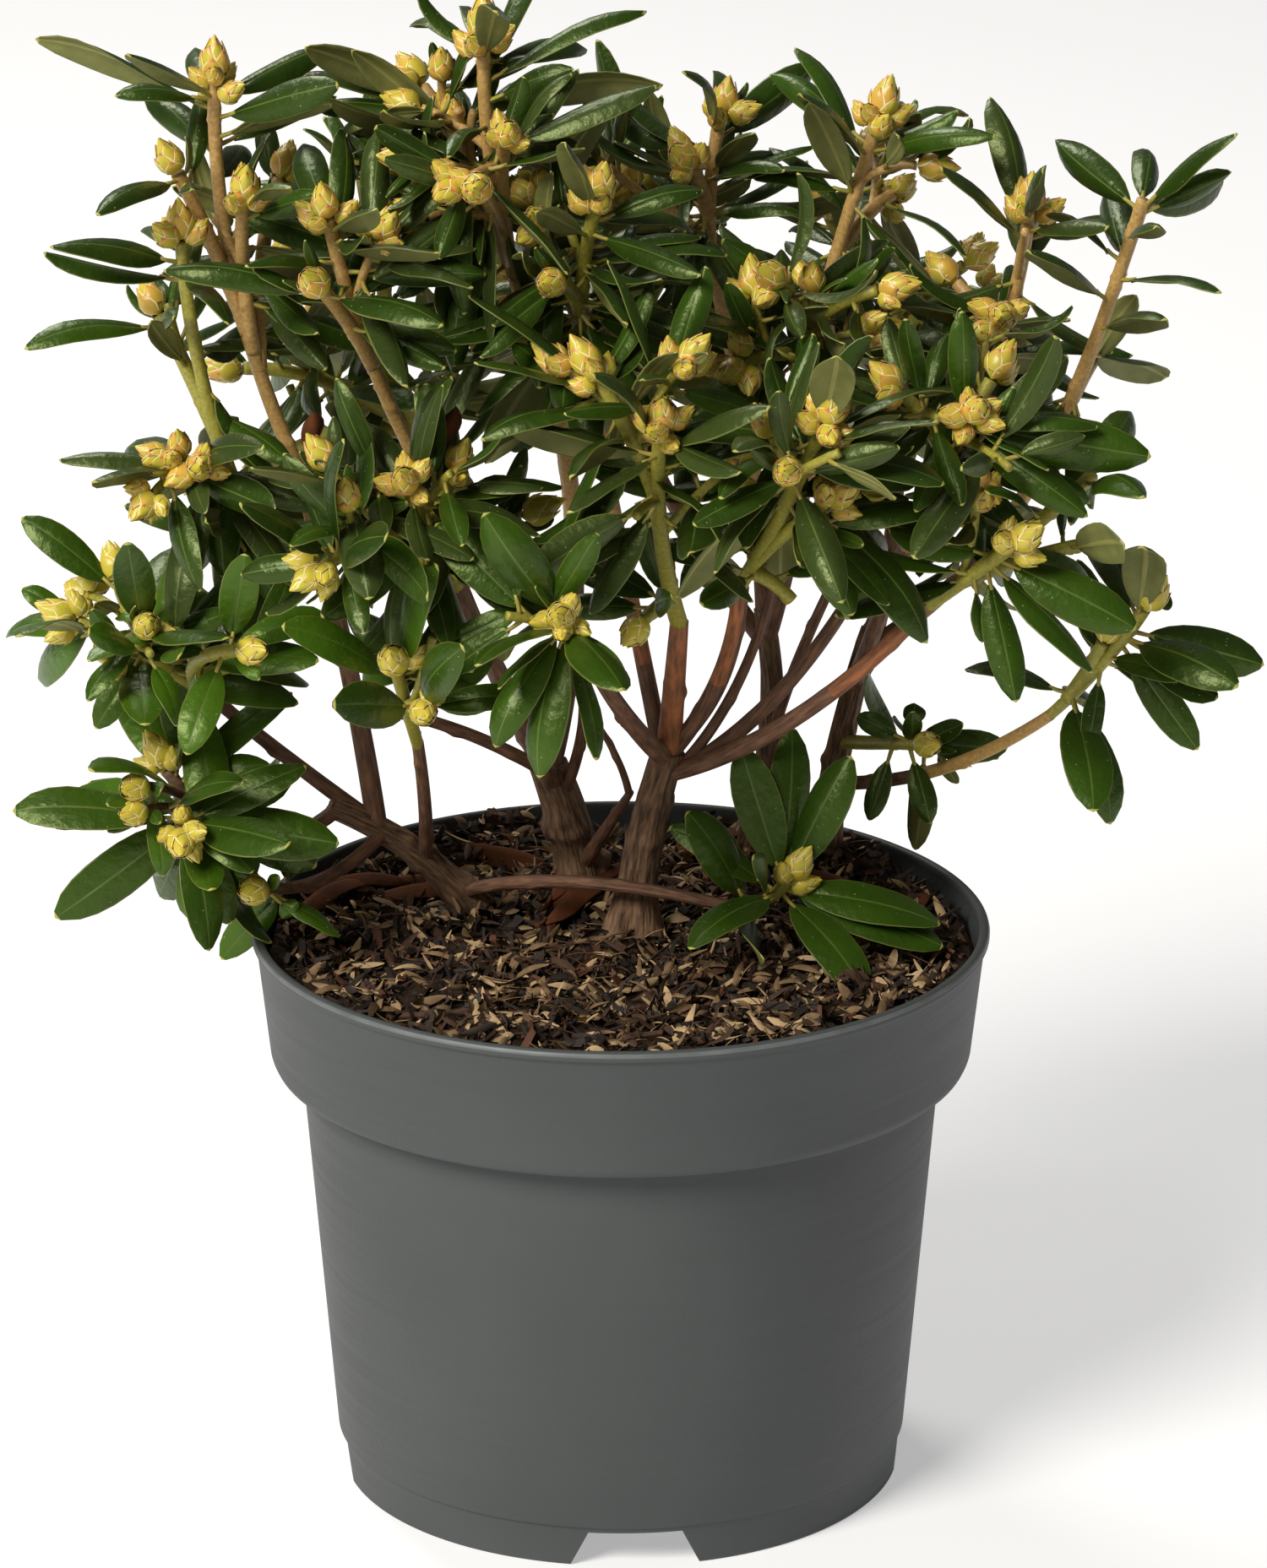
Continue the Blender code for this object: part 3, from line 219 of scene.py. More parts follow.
MASSES = {
    "foliage_top_left": Mass("bough_rise", 1, [
        Shoot((-122, 0, 449), 5, [(-54, 13, -1, 9), (-8, 14, -1, 4), (34, 13, -1, 6),
                                  (38, -3, 1, 12), (36, -8, 1, 18), (-22, 1, -1, 24), (-24, 5, 1, 5)]),
        Shoot((-133, -10, 423), 1, [(-22, -15, 1, 3)]),
        Shoot((-113, -15, 416), 3, [(16, 1, 1, 3)]),
        Shoot((-104, 24, 412), 2),
    ]),
    "foliage_left": Mass("bough_outer_left", 1, [
        Shoot((-132, -14, 403), 3, [(-38, -3, 1, 7), (-14, 7, -1, 4), (16, -27, 1, 10)]),
        Shoot((-140, 6, 374), 1, [(-40, -11, 1, 4)]),
        Shoot((-136, -28, 338), 4, [(-34, 1, 0, 10), (-22, -7, 1, 14), (-16, 5, -1, 5),
                                    (30, 3, 1, 12)]),
        Shoot((-118, -20, 306), 0, [(-33, 15, 0, 4)]),
    ]),
    "foliage_upper_left": Mass("bough_upper_left", 1, [
        Shoot((-87, -35, 416), 4, [(-9, 25, -1, 4), (-16, 12, -1, 5), (16, 0, 1, 5),
                                   (31, 7, -1, 9), (34, -12, 1, 12)]),
        Shoot((-89, -46, 397), 1, [(-47, 6, 1, 5), (37, -12, 1, 6)]),
    ]),
    "foliage_top": Mass("bough_top", 1, [
        Shoot((-41, 0, 462), 5, [(-23, 8, -1, 5), (-6, 12, -1, 3), (49, 9, -1, 14),
                                 (31, 0, -1, 8), (54, -13, -1, 20), (5, 4, 1, 6)]),
        Shoot((-34, -25, 437), 3, [(45, 17, 1, 6)]),
        Shoot((-42, -43, 427), 2),
        Shoot((-50, 20, 429), 2, [(-31, 22, 1, 4)]),
        Shoot((-60, 28, 440), 2, [(-35, 10, 1, 5), (-42, 3, -1, 9)]),
    ]),
    "foliage_centre": Mass("bough_middle", 1, [
        Shoot((-7, -25, 419), 4, [(-9, 14, 1, 4), (32, 3, 0, 8), (29, -7, -1, 7),
                                  (31, -24, 1, 12)]),
        Shoot((-19, -42, 398), 1),
        Shoot((-27, 5, 408), 1),
        Shoot((-45, 0, 366), 0),
    ]),
    "foliage_front": Mass("bough_centre", 1, [
        Shoot((12, -75, 363), 5, [(-47, 2, 1, 14), (32, 5, 1, 12), (42, -7, 1, 20),
                                  (-20, 14, 1, 8), (-37, -46, 0, 46), (28, -51, 0, 42)]),
        Shoot((-7, -62, 375), 4, [(-38, 24, 1, 6)]),
        Shoot((7, -42, 292), 1),
    ]),
    "foliage_front_right": Mass("bough_right_inner", 1, [
        Shoot((61, -75, 365), 5, [(38, 10, -1, 6), (32, -1, 1, 9), (2, 17, 1, 3)]),
        Shoot((50, -88, 353), 1),
        Shoot((52, -34, 296), 0),
        Shoot((62, -54, 333), 3, [(30, -42, 1, 5)]),
    ]),
    "foliage_right": Mass("bough_fore_right", 1, [
        Shoot((105, -50, 359), 5, [(38, -3, 0, 6), (54, -12, 0, 12), (35, -30, 1, 16)]),
        Shoot((84, -38, 363), 2),
        Shoot((112, -16, 360), 2),
    ]),
    "foliage_right_low": Mass("bough_right", 1, [
        Shoot((118, -55, 320), 4, [(26, -12, -1, 5), (37, -25, 1, 9), (1, -47, 0, 14),
                                   (24, -38, 1, 12), (-9, -29, 0, 20)]),
        Shoot((143, -20, 331), 0, [(14, 21, -1, 3), (13, -8, 1, 4)]),
        Shoot((139, -30, 312), 0, [(11, -1, 1, 3)]),
    ]),
    "foliage_high_right": Mass("bough_high_right", 1, [
        Shoot((125, 30, 400), 4, [(-11, 37, -1, 7), (-28, 12, 1, 10), (2, 10, 1, 3), (22, -7, 1, 6)]),
        Shoot((117, 10, 373), 3),
        Shoot((104, 50, 372), 1),
    ]),
    "foliage_far_right": Mass("bough_far_right", 1, [
        Shoot((158, 0, 412), 0, [(-25, 21, -1, 4), (3, 18, -1, 1), (26, 18, 1, 3), (27, 9, -1, 4),
                                 (22, -29, 1, 28), (6, -37, 1, 46), (11, -50, -1, 55),
                                 (-36, -16, 1, 36), (-7, 9, -1, 22), (-28, -2, 1, 22)]),
        Shoot((146, 34, 352), 0),
    ]),
    "foliage_inner": Mass("bough_inner", 1, [
        Shoot((58, 0, 383), 2),
        Shoot((78, -5, 385), 2),
        Shoot((37, -20, 366), 3),
    ]),
    "foliage_rear_top": Mass("bough_rear_top", 1, [
        Shoot((31, 55, 424), 3, [(-1, 17, -1, 3), (-12, 10, 1, 5), (30, 18, -1, 8)]),
        Shoot((21, 38, 413), 3),
        Shoot((4, 62, 396), 2),
    ]),
    "foliage_rear_right_top": Mass("bough_rear_right_top", 1, [
        Shoot((79, 40, 427), 5, [(-33, 16, -1, 9), (9, 9, -1, 5), (29, 4, -1, 7),
                                 (35, -7, 1, 11), (-22, 3, 1, 26), (-25, 5, 1, 12)]),
        Shoot((84, 62, 397), 3, [(22, -22, 1, 5)]),
    ]),
    "foliage_far_right_low": Mass("bough_reach_right", 1, [
        Shoot((160, -15, 287), 1, [(-14, 23, -1, 4), (-3, 18, 1, 4), (8, 4, 0, 3),
                                   (37, -17, 0, 10), (27, -24, 1, 13), (17, -43, 0, 16),
                                   (-17, -43, 0, 26)]),
        Shoot((148, -8, 274), 1, [(3, -56, 0, 22), (-42, -8, 0, 24)]),
    ]),
    "foliage_right_sprig": Mass("trunk_rear_right", 0.52, [
        Shoot((93, 30, 228), 1, [(-19, 9, 0, 3), (-1, 13, 0, 3), (19, -6, 0, 3),
                                 (4, -25, 0, 5), (-15, -24, 0, 14)]),
    ]),
    "foliage_soil_sprig": Mass("runner", 1, [
        Shoot((52, -14, 199), 3, [(-37, 16, 0, 6), (-15, 41, 1, 3), (19, 38, 1, 3),
                                  (1, 47, -1, 4), (-31, -21, 1, 5), (48, -21, 0, 4),
                                  (47, -14, -1, 4), (24, -37, 1, 5)]),
    ]),
    "foliage_front_hanging": Mass("bough_front", 1, [
        Shoot((-17, -93, 309), 4, [(-7, -47, 0, 8), (-20, -38, 0, 8), (18, -21, 1, 6),
                                   (-25, -14, 1, 7), (-23, 31, 1, 10)]),
    ]),
    "foliage_front_left": Mass("bough_front_left", 1, [
        Shoot((-63, -70, 343), 4),
        Shoot((-50, -52, 342), 2),
        Shoot((-30, -34, 322), 1),
        Shoot((-88, -80, 321), 3, [(7, 37, 1, 6), (-7, 29, -1, 5), (-23, 18, 1, 6),
                                   (20, 8, 1, 6)]),
    ]),
    "foliage_low_front": Mass("bough_low_front", 1, [
        Shoot((-67, -75, 288), 2, [(13, 30, 1, 5), (-33, 12, 1, 8), (-13, 18, -1, 6)]),
        Shoot((-60, -78, 276), 2, [(14, 18, 1, 5), (34, 3, 0, 6), (-24, 1, 1, 5)]),
    ]),
    "foliage_far_left": Mass("bough_reach_left", 1, [
        Shoot((-166, -15, 283), 3, [(-24, -3, -1, 5), (-15, -5, 1, 6), (-15, -17, -1, 7),
                                    (-17, 10, 0, 3)]),
        Shoot((-154, 2, 290), 1, [(-30, 20, 0, 4)]),
        Shoot((-144, -38, 288), 2, [(-3, 25, 1, 4), (9, 27, -1, 4), (27, -3, 1, 5),
                                    (-16, -30, 0, 20)]),
        Shoot((-114, -56, 287), 1),
        Shoot((-104, -34, 276), 0),
    ]),
    "foliage_low_left": Mass("bough_low_left", 1, [
        Shoot((-139, -15, 235), 3, [(-16, 27, -1, 5), (10, 29, 1, 4), (38, 24, 0, 6),
                                    (-22, 0, 1, 9)]),
        Shoot((-134, -43, 224), 4, [(-52, 7, 0, 12), (-40, -26, 0, 26), (38, 21, 0, 7),
                                    (34, -3, 1, 10), (48, -3, -1, 11), (8, -36, 0, 16)]),
    ]),
    "foliage_low_left_front": Mass("bough_low_spur", 1, [
        Shoot((-110, -27, 200), 1, [(24, -14, 0, 4), (10, -8, 0, 3), (-7, 12, 0, 3)]),
    ]),
    "foliage_rear_left": Mass("bough_rear_left", 1, [
        Shoot((-81, 62, 409), 2, [(0, 11, 1, 3)]),
        Shoot((-92, 104, 352), 3),
        Shoot((-118, 66, 340), 2),
        Shoot((-112, 94, 300), 2),
        Shoot((-58, 118, 318), 3),
    ]),
    "foliage_rear": Mass("bough_rear_middle", 1, [
        Shoot((-8, 92, 396), 3),
        Shoot((22, 118, 366), 3),
        Shoot((-34, 112, 352), 3),
        Shoot((4, 132, 320), 3),
    ]),
    "foliage_rear_right": Mass("bough_rear_side", 1, [
        Shoot((66, 106, 378), 3),
        Shoot((108, 92, 366), 2),
        Shoot((134, 86, 318), 2),
        Shoot((92, 128, 322), 3),
    ]),
}

# Gaps in the crown that the sky shows through in that view, as ellipses: the middle to the right
# of and above the view's own middle, and the half width and half height, in millimetres.
SKY_GAPS = [
    # beside the crown on the left, from the top down
    (-167, 189, 21, 20), (-176, 151, 16, 6), (-165, 120, 25, 9), (-178, 89, 13, 6),
    (-160, 147, 9, 9), (-162, 131, 18, 6), (-135, 120, 6, 15), (-160, 208, 14, 5),
    (-148, 196, 8, 10), (-142, 170, 7, 5), (-144, 107, 14, 6), (-153, 73, 13, 9), (-179, 58, 13, 5),
    (-180, 32, 14, 6), (-160, 92, 12, 4), (-163, -24, 14, 5), (-156, -45, 22, 8),
    (-178, 14, 16, 12), (-158, 11, 7, 7), (-182, -24, 10, 7),
    # over the crown, from left to right
    (-148, 228, 8, 8), (-121, 236, 10, 12), (-88, 237, 25, 7), (-19, 237, 12, 7), (28, 234, 21, 8),
    (86, 228, 22, 10), (126, 218, 8, 20), (145, 214, 13, 10),
    # beside the crown on the right, from the top down
    (22, 217, 9, 7), (43, 222, 4, 8), (78, 215, 7, 4), (138, 188, 6, 9), (154, 198, 5, 6),
    (170, 163, 8, 5), (187, 146, 11, 4), (182, 133, 10, 8), (163, 121, 7, 9), (145, 115, 5, 4),
    (159, 94, 9, 12), (154, 75, 7, 12), (163, 64, 8, 9), (184, 53, 13, 12), (158, 19, 8, 14),
    (186, 168, 12, 10), (187, 138, 10, 5), (184, 109, 16, 16), (184, 81, 16, 14), (174, -8, 18, 10),
    (176, 75, 13, 17),
    # in the upper crown
    (145, 160, 7, 11), (111, 163, 6, 9), (46, 172, 5, 6), (50, 206, 6, 8), (98, 176, 7, 9),
    (111, 187, 5, 8), (-114, 123, 5, 11), (-97, 108, 6, 4),
    # low in the crown, where bare limbs show
    (-85, 43, 3, 9), (-94, 12, 12, 7), (-71, 1, 6, 12), (-50, 4, 11, 9), (26, 6, 5, 10),
    (26, 41, 6, 14), (38, 36, 5, 13), (65, 21, 4, 8), (98, 34, 13, 12), (109, 51, 7, 5),
    (130, 42, 9, 13), (166, 16, 9, 11), (115, -10, 18, 12), (9, 26, 3, 7),
]

# Finer limbs that the photograph shows among the boughs. They have no solids of their own.
FINE_LIMBS = {
    "stem_across": Limb("trunk_left", 0.93, (-89, 16, 246), (0, 2, 4), (2.3, 1.6)),
    "stem_fork": Limb("bough_right_inner", 0.10, (38, -8, 292), (4, 0, -4), (1.9, 1.4)),
    "stem_steep": Limb("bough_right", 0.06, (50, 0, 306), (4, 0, -6), (1.8, 1.4)),
    "stem_slanting": Limb("bough_right", 0.10, (80, 0, 304), (3, 0, -7), (2.8, 1.9)),
    "stem_between": Limb("trunk_rear", 0.45, (74, 24, 300), (-3, 0, -2), (2.0, 1.5)),
    "stem_dark": Limb("trunk_left", 0.15, (3, 10, 219), (0, 0, 0), (2.8, 1.2)),
    "stem_thin": Limb("stem_dark", 0.98, (-11, 0, 250), (2, 0, 0), (1.2, 0.9)),
    "stem_crossing": Limb("trunk_left", 0.72, (-12, 4, 258), (3, 0, 0), (2.0, 1.5)),
}
LIMBS = {**TRUNKS, **BOUGHS, **FINE_LIMBS}

# Limbs that show bare: from which share of their length to which no leaf passes before them.
BARE_LIMBS = {
    "bough_rise": (0, 0.5), "bough_low_front": (0, 1), "bough_reach_left": (0, 0.9),
    "bough_low_spur": (0, 0.9), "bough_centre": (0, 1), "bough_right": (0, 0.5),
    "bough_right_inner": (0, 0.7), "bough_middle": (0, 0.35), "bough_front": (0, 0.5),
    "bough_reach_right": (0.1, 1), "trunk_rear": (0.2, 1), "trunk_rear_right": (0.3, 1),
    "trunk_right": (0.3, 1), "stem_across": (0.2, 1), "stem_fork": (0, 0.9),
    "stem_steep": (0, 0.6), "stem_slanting": (0, 0.6), "stem_between": (0, 0.6),
    "stem_dark": (0, 1),
}

# First shoots that show bare: how far the middle of each bows aside, and how far down from its
# tip no leaf passes before it, in millimetres.
BARE_SHOOTS = {
    "foliage_top_left": (-7, 100), "foliage_left": (-4, 75), "foliage_upper_left": (-3, 80),
    "foliage_top": (-5, 80), "foliage_centre": (-3, 48), "foliage_front": (-3, 66),
    "foliage_front_right": (1, 52), "foliage_rear_top": (-2, 34),
    "foliage_rear_right_top": (0, 48), "foliage_high_right": (2, 36),
    "foliage_far_right": (1, 80), "foliage_far_right_low": (2, 60), "foliage_right_low": (0, 45),
    "foliage_right_sprig": (0, 40), "foliage_low_front": (0, 40),
}

# Masses at the back, which the photograph doesn't show
BACK_MASSES = ("foliage_rear", "foliage_rear_left", "foliage_rear_right")

# Dried leaves that hang in the crown: foot and tip in millimetres
WITHERED_LEAVES = [
    ((-93, -20, 337), (-93, -22, 352)), ((-56, -50, 344), (-49, -50, 362)),
]

# Dead leaves on the soil: their places in millimetres and which way each points, in radians
DRY_LEAVES = [
    (-84, 42, 0.2), (-72, 50, 0.4), (-66, 38, 0.1), (-92, 30, 0.9), (-14, 28, 1.0), (-10, 40, 0.8),
    (-18, 44, 1.3), (72, 40, 2.4), (88, 10, 1.2), (30, 78, 0.3), (-34, 66, 2.8),
]

# Masses whose young wood is tan, and low ones whose young wood is green
TAN_MASSES = ("foliage_top_left", "foliage_upper_left", "foliage_top", "foliage_rear_right_top",
              "foliage_far_right", "foliage_high_right", "foliage_rear_top")
GREEN_MASSES = ("foliage_soil_sprig", "foliage_right_sprig")


def mm(row):
    """A row of millimetres as a vector in metres."""
    return Vector(row) * MM


class Sheaf:
    """Corners and faces of many small shapes, which end up as one mesh."""

    def __init__(self):
        self.corners = []
        self.faces = []
        self.looks = []
        self.flat = []
        self.count = 0

    def add(self, corners, faces, looks, flat=None):
        corners = np.asarray(corners, dtype=float)
        first = self.count
        self.corners.append(corners)
        self.faces += [tuple(first + i for i in face) for face in faces]
        self.looks += looks if isinstance(looks, list) else [looks] * len(faces)
        self.flat.append(np.zeros((len(corners), 2)) if flat is None else flat)
        self.count += len(corners)

    def mesh(self, name, materials):
        mesh = bpy.data.meshes.new(name)
        mesh.from_pydata(np.concatenate(self.corners), [], self.faces)
        mesh.polygons.foreach_set("material_index", self.looks)
        mesh.polygons.foreach_set("use_smooth", [True] * len(self.faces))
        owner = np.empty(len(mesh.loops), dtype=int)
        mesh.loops.foreach_get("vertex_index", owner)
        layer = mesh.uv_layers.new(name="flat")
        layer.data.foreach_set("uv", np.concatenate(self.flat)[owner].ravel())
        for material in materials:
            mesh.materials.append(material)
        return mesh

    def tree(self):
        """The shapes as one tree that tells what crosses them."""
        return BVHTree.FromPolygons(np.concatenate(self.corners).tolist(), self.faces)


def show(name, data):
    """A new object of the scene, for a mesh, a lamp or the camera."""
    thing = bpy.data.objects.new(name, data)
    bpy.context.scene.collection.objects.link(thing)
    return thing


def piece(name, mesh, node):
    """Show a mesh as a piece of the plant, in place of the solid that it stands for."""
    thing = show(name, mesh)
    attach(thing, "root")
    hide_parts(node)
    return thing


# Materials

def wire(tree, source, output, target, socket):
    tree.links.new(source.outputs[output], target.inputs[socket])


def set_inputs(node, values):
    for socket, value in values.items():
        node.inputs[socket].default_value = value


def add_node(tree, kind, values):
    """A shader node of this kind with these values on its inputs."""
    node = tree.nodes.new("ShaderNode" + kind)
    set_inputs(node, values)
    return node


def add_noise(tree, by, scale, detail):
    """Noise over one of the material's coordinates, which scale stretches."""
    scale = (scale, scale, scale) if isinstance(scale, int) else scale
    stretch = add_node(tree, "Mapping", {"Scale": scale})
    noise = add_node(tree, "TexNoise", {"Scale": 1, "Detail": detail})
    wire(tree, tree.nodes["Place"], by, stretch, "Vector")
    wire(tree, stretch, "Vector", noise, "Vector")
    return noise


def spotted(name, colour, other, scale, roughness, *, contrast=0.5, bump=0.0, bump_scale=None,
            by="Object", specular=0.5, sheen=(1, 1, 1)):
    """A material that wanders between two colours, with a fine relief."""
    material = bpy.data.materials.new(name)
    material.use_nodes = True
    material.diffuse_color = (*colour, 1)
    tree = material.node_tree
    shader = tree.nodes["Principled BSDF"]
    set_inputs(shader, {"Base Color": (*colour, 1), "Roughness": roughness,
                        "Specular IOR Level": specular, "Specular Tint": (*sheen, 1)})
    add_node(tree, "TexCoord", {}).name = "Place"
    ramp = add_node(tree, "ValToRGB", {})
    ramp.name = "Ramp"
    for end, side, shade in zip(ramp.color_ramp.elements, (-1, 1), (colour, other)):
        end.position = 0.5 + side * contrast / 2
        end.color = (*shade, 1)
    wire(tree, add_noise(tree, by, scale, 4), "Fac", ramp, "Fac")
    wire(tree, ramp, "Color", shader, "Base Color")
    if bump:
        relief = add_node(tree, "Bump", {"Strength": 1, "Distance": bump})
        wire(tree, add_noise(tree, by, bump_scale or scale, 5), "Fac", relief, "Height")
        wire(tree, relief, "Normal", shader, "Normal")
    return material


def leaf_top(name, colour, other):
    """Glossy leather with a fine relief and a few tiny pale scales."""
    material = spotted(name, colour, other, 55, 0.36, contrast=0.4, bump=0.0005, bump_scale=300,
                       sheen=(0.85, 1, 0.45))
    tree = material.node_tree
    cells = add_node(tree, "TexVoronoi", {"Scale": 330})
    dots = add_node(tree, "Math", {1: 0.055})
    dots.operation = "LESS_THAN"
    mix = add_node(tree, "Mix", {})
    mix.data_type = "RGBA"
    set_inputs(mix, {"B": (0.30, 0.36, 0.22, 1)})
    wire(tree, tree.nodes["Place"], "Object", cells, "Vector")
    wire(tree, cells, "Distance", dots, 0)
    wire(tree, dots, "Value", mix, "Factor")
    wire(tree, tree.nodes["Ramp"], "Color", mix, "A")
    wire(tree, mix, "Result", tree.nodes["Principled BSDF"], "Base Color")
    return material


# Places in the list of a leaf's looks. The look of its top is TOP plus the tint of its spray.
UNDER, VEIN, UNDER_VEIN, MARGIN, STALK, POINT, TOP = range(7)
LEAF_LOOKS = [
    spotted("leaf_underside", (0.200, 0.205, 0.060), (0.130, 0.140, 0.038), 160, 0.62, bump=0.00012,
            bump_scale=900, specular=0.3),
    spotted("leaf_vein", (0.050, 0.090, 0.010), (0.085, 0.125, 0.014), 120, 0.42),
    spotted("leaf_under_vein", (0.300, 0.290, 0.085), (0.230, 0.220, 0.060), 120, 0.55),
    spotted("leaf_margin", (0.060, 0.090, 0.010), (0.150, 0.165, 0.022), 90, 0.42),
    spotted("leaf_stalk", (0.300, 0.290, 0.032), (0.300, 0.210, 0.045), 110, 0.5),
    spotted("leaf_tip", (0.420, 0.400, 0.080), (0.320, 0.300, 0.060), 110, 0.5),
    leaf_top("leaf_top_deep", (0.013, 0.030, 0.0025), (0.020, 0.046, 0.0034)),
    leaf_top("leaf_top_mid", (0.018, 0.044, 0.0026), (0.028, 0.066, 0.0036)),
    leaf_top("leaf_top_fresh", (0.030, 0.074, 0.0032), (0.044, 0.104, 0.0050)),
    leaf_top("leaf_top_dusky", (0.022, 0.038, 0.0065), (0.034, 0.052, 0.0110)),
]

BUD_GREEN, BUD_GOLD, BUD_EDGE, BUD_TIP = range(4)
BUD_LOOKS = [
    spotted("bud_scale_green", (0.480, 0.440, 0.040), (0.600, 0.440, 0.050), 190, 0.36,
            bump=0.00012, bump_scale=700),
    spotted("bud_scale_gold", (0.640, 0.330, 0.060), (0.560, 0.430, 0.045), 190, 0.36, bump=0.00012,
            bump_scale=700),
    spotted("bud_edge", (0.900, 0.780, 0.460), (0.820, 0.620, 0.260), 300, 0.5),
    spotted("bud_tip", (0.520, 0.150, 0.040), (0.640, 0.280, 0.060), 300, 0.5),
]

TWIG_GREEN, TWIG_TAN, TWIG_BROWN = range(3)
TWIG_LOOKS = [
    spotted("twig_green", (0.390, 0.360, 0.044), (0.210, 0.180, 0.026), 900, 0.48, bump=0.00008,
            bump_scale=700),
    spotted("twig_tan", (0.560, 0.360, 0.110), (0.330, 0.180, 0.055), 900, 0.48, bump=0.00008,
            bump_scale=700),
    spotted("twig_brown", (0.170, 0.090, 0.042), (0.080, 0.042, 0.022), 420, 0.7, contrast=0.4,
            bump=0.0005),
]

BARK_OLD, BARK_BROWN, BARK_ORANGE, BARK_YOUNG = range(4)
BARK_LOOKS = [
    spotted("bark_old", (0.290, 0.165, 0.085), (0.060, 0.030, 0.015), (130, 26, 1), 0.8,
            contrast=0.34, bump=0.0014, bump_scale=(120, 34, 1), by="UV"),
    spotted("bark_brown", (0.230, 0.110, 0.055), (0.085, 0.038, 0.020), (140, 12, 1), 0.7,
            contrast=0.36, bump=0.0008, bump_scale=(150, 16, 1), by="UV"),
    spotted("bark_orange", (0.420, 0.140, 0.042), (0.160, 0.062, 0.026), (120, 9, 1), 0.65,
            contrast=0.30, bump=0.0008, bump_scale=(150, 14, 1), by="UV"),
    TWIG_LOOKS[TWIG_TAN],
]

SOIL, HUSK_PALE, HUSK_TAN, CHIP_BROWN, CHIP_BLACK, CHIP_RED = range(6)
MULCH_LOOKS = [
    spotted("soil_dark", (0.012, 0.007, 0.004), (0.034, 0.019, 0.010), 260, 0.95, bump=0.003,
            bump_scale=420, specular=0.2),
    spotted("husk_pale", (0.520, 0.370, 0.200), (0.300, 0.190, 0.090), 330, 0.75, specular=0.3),
    spotted("husk_tan", (0.230, 0.145, 0.068), (0.110, 0.062, 0.029), 330, 0.8, specular=0.3),
    spotted("chip_brown", (0.075, 0.038, 0.019), (0.032, 0.016, 0.009), 300, 0.85, specular=0.3),
    spotted("chip_black", (0.014, 0.010, 0.007), (0.030, 0.019, 0.012), 300, 0.75, specular=0.35),
    spotted("chip_red", (0.110, 0.040, 0.017), (0.060, 0.024, 0.012), 260, 0.75, specular=0.3),
]
DRY_LEAF = spotted("dry_leaf", (0.120, 0.038, 0.012), (0.055, 0.020, 0.008), 120, 0.9, bump=0.0004,
                   bump_scale=380, specular=0.15)


# Shapes

BOX_CORNERS = [(x, y, z) for z in (-1, 1) for x, y in ((-1, -1), (1, -1), (1, 1), (-1, 1))]
BOX_FACES = [(3, 2, 1, 0), (4, 5, 6, 7), (0, 1, 5, 4), (1, 2, 6, 5), (2, 3, 7, 6), (3, 0, 4, 7)]


def unit(vector):
    return vector / np.linalg.norm(vector)


def arc(start, tip, bow, count):
    """Points on a smooth curve from start to tip, pushed aside by bow at its middle."""
    middle = (start + tip) / 2 + bow * 2
    points = []
    for i in range(count):
        t = i / (count - 1)
        points.append(start * (1 - t) ** 2 + middle * 2 * t * (1 - t) + tip * t ** 2)
    return points


def along(points, share):
    """The place a share of the way along a row of points, and the direction there."""
    place = min(max(share, 0), 1) * (len(points) - 1)
    i = min(int(place), len(points) - 2)
    step = points[i + 1] - points[i]
    return points[i] + step * (place - i), step.normalized()


def spots_along(points, count):
    return [along(points, i / (count - 1))[0] for i in range(count)]


def span_of(points):
    return sum((b - a).length for a, b in zip(points, points[1:]))


def sideways(axis, turn):
    """A direction square to an axis, turned round it."""
    across = axis.orthogonal().normalized()
    across.rotate(Matrix.Rotation(turn, 3, axis))
    return across


def tube_faces(rings, sides, first=0, turned=False):
    """The faces between rings of corners, from the first corner on. Turned ones face the other way."""
    faces = []
    for a in range(first, first + (rings - 1) * sides, sides):
        for j in range(sides):
            k = (j + 1) % sides
            if turned:
                faces.append((a + j, a + sides + j, a + sides + k, a + k))
            else:
                faces.append((a + j, a + k, a + sides + k, a + sides + j))
    return faces


def closed_tube_faces(rings, sides):
    """The faces between rings of corners, and then its two ends."""
    start = tuple(range(sides))[::-1]
    end = tuple((rings - 1) * sides + j for j in range(sides))
    return tube_faces(rings, sides) + [start, end]


def sheet_faces(rows, columns, first=0):
    """The faces of an open sheet of rows and columns of corners."""
    starts = [first + i * columns + j for i in range(rows - 1) for j in range(columns - 1)]
    return [(a, a + 1, a + 1 + columns, a + columns) for a in starts]


def ripples(rng, waves, lowest, highest):
    """A seeded bumpy function round and along a limb, about between -1 and 1."""
    rows = [(rng.randint(lowest, highest), rng.uniform(-1, 1), rng.uniform(0, FULL_TURN))
            for _ in range(waves)]

    def height(turn, run):
        total = 0
        for round_count, slant, start in rows:
            total = total + np.sin(round_count * turn + slant * run + start)
        return total / math.sqrt(waves)

    return height


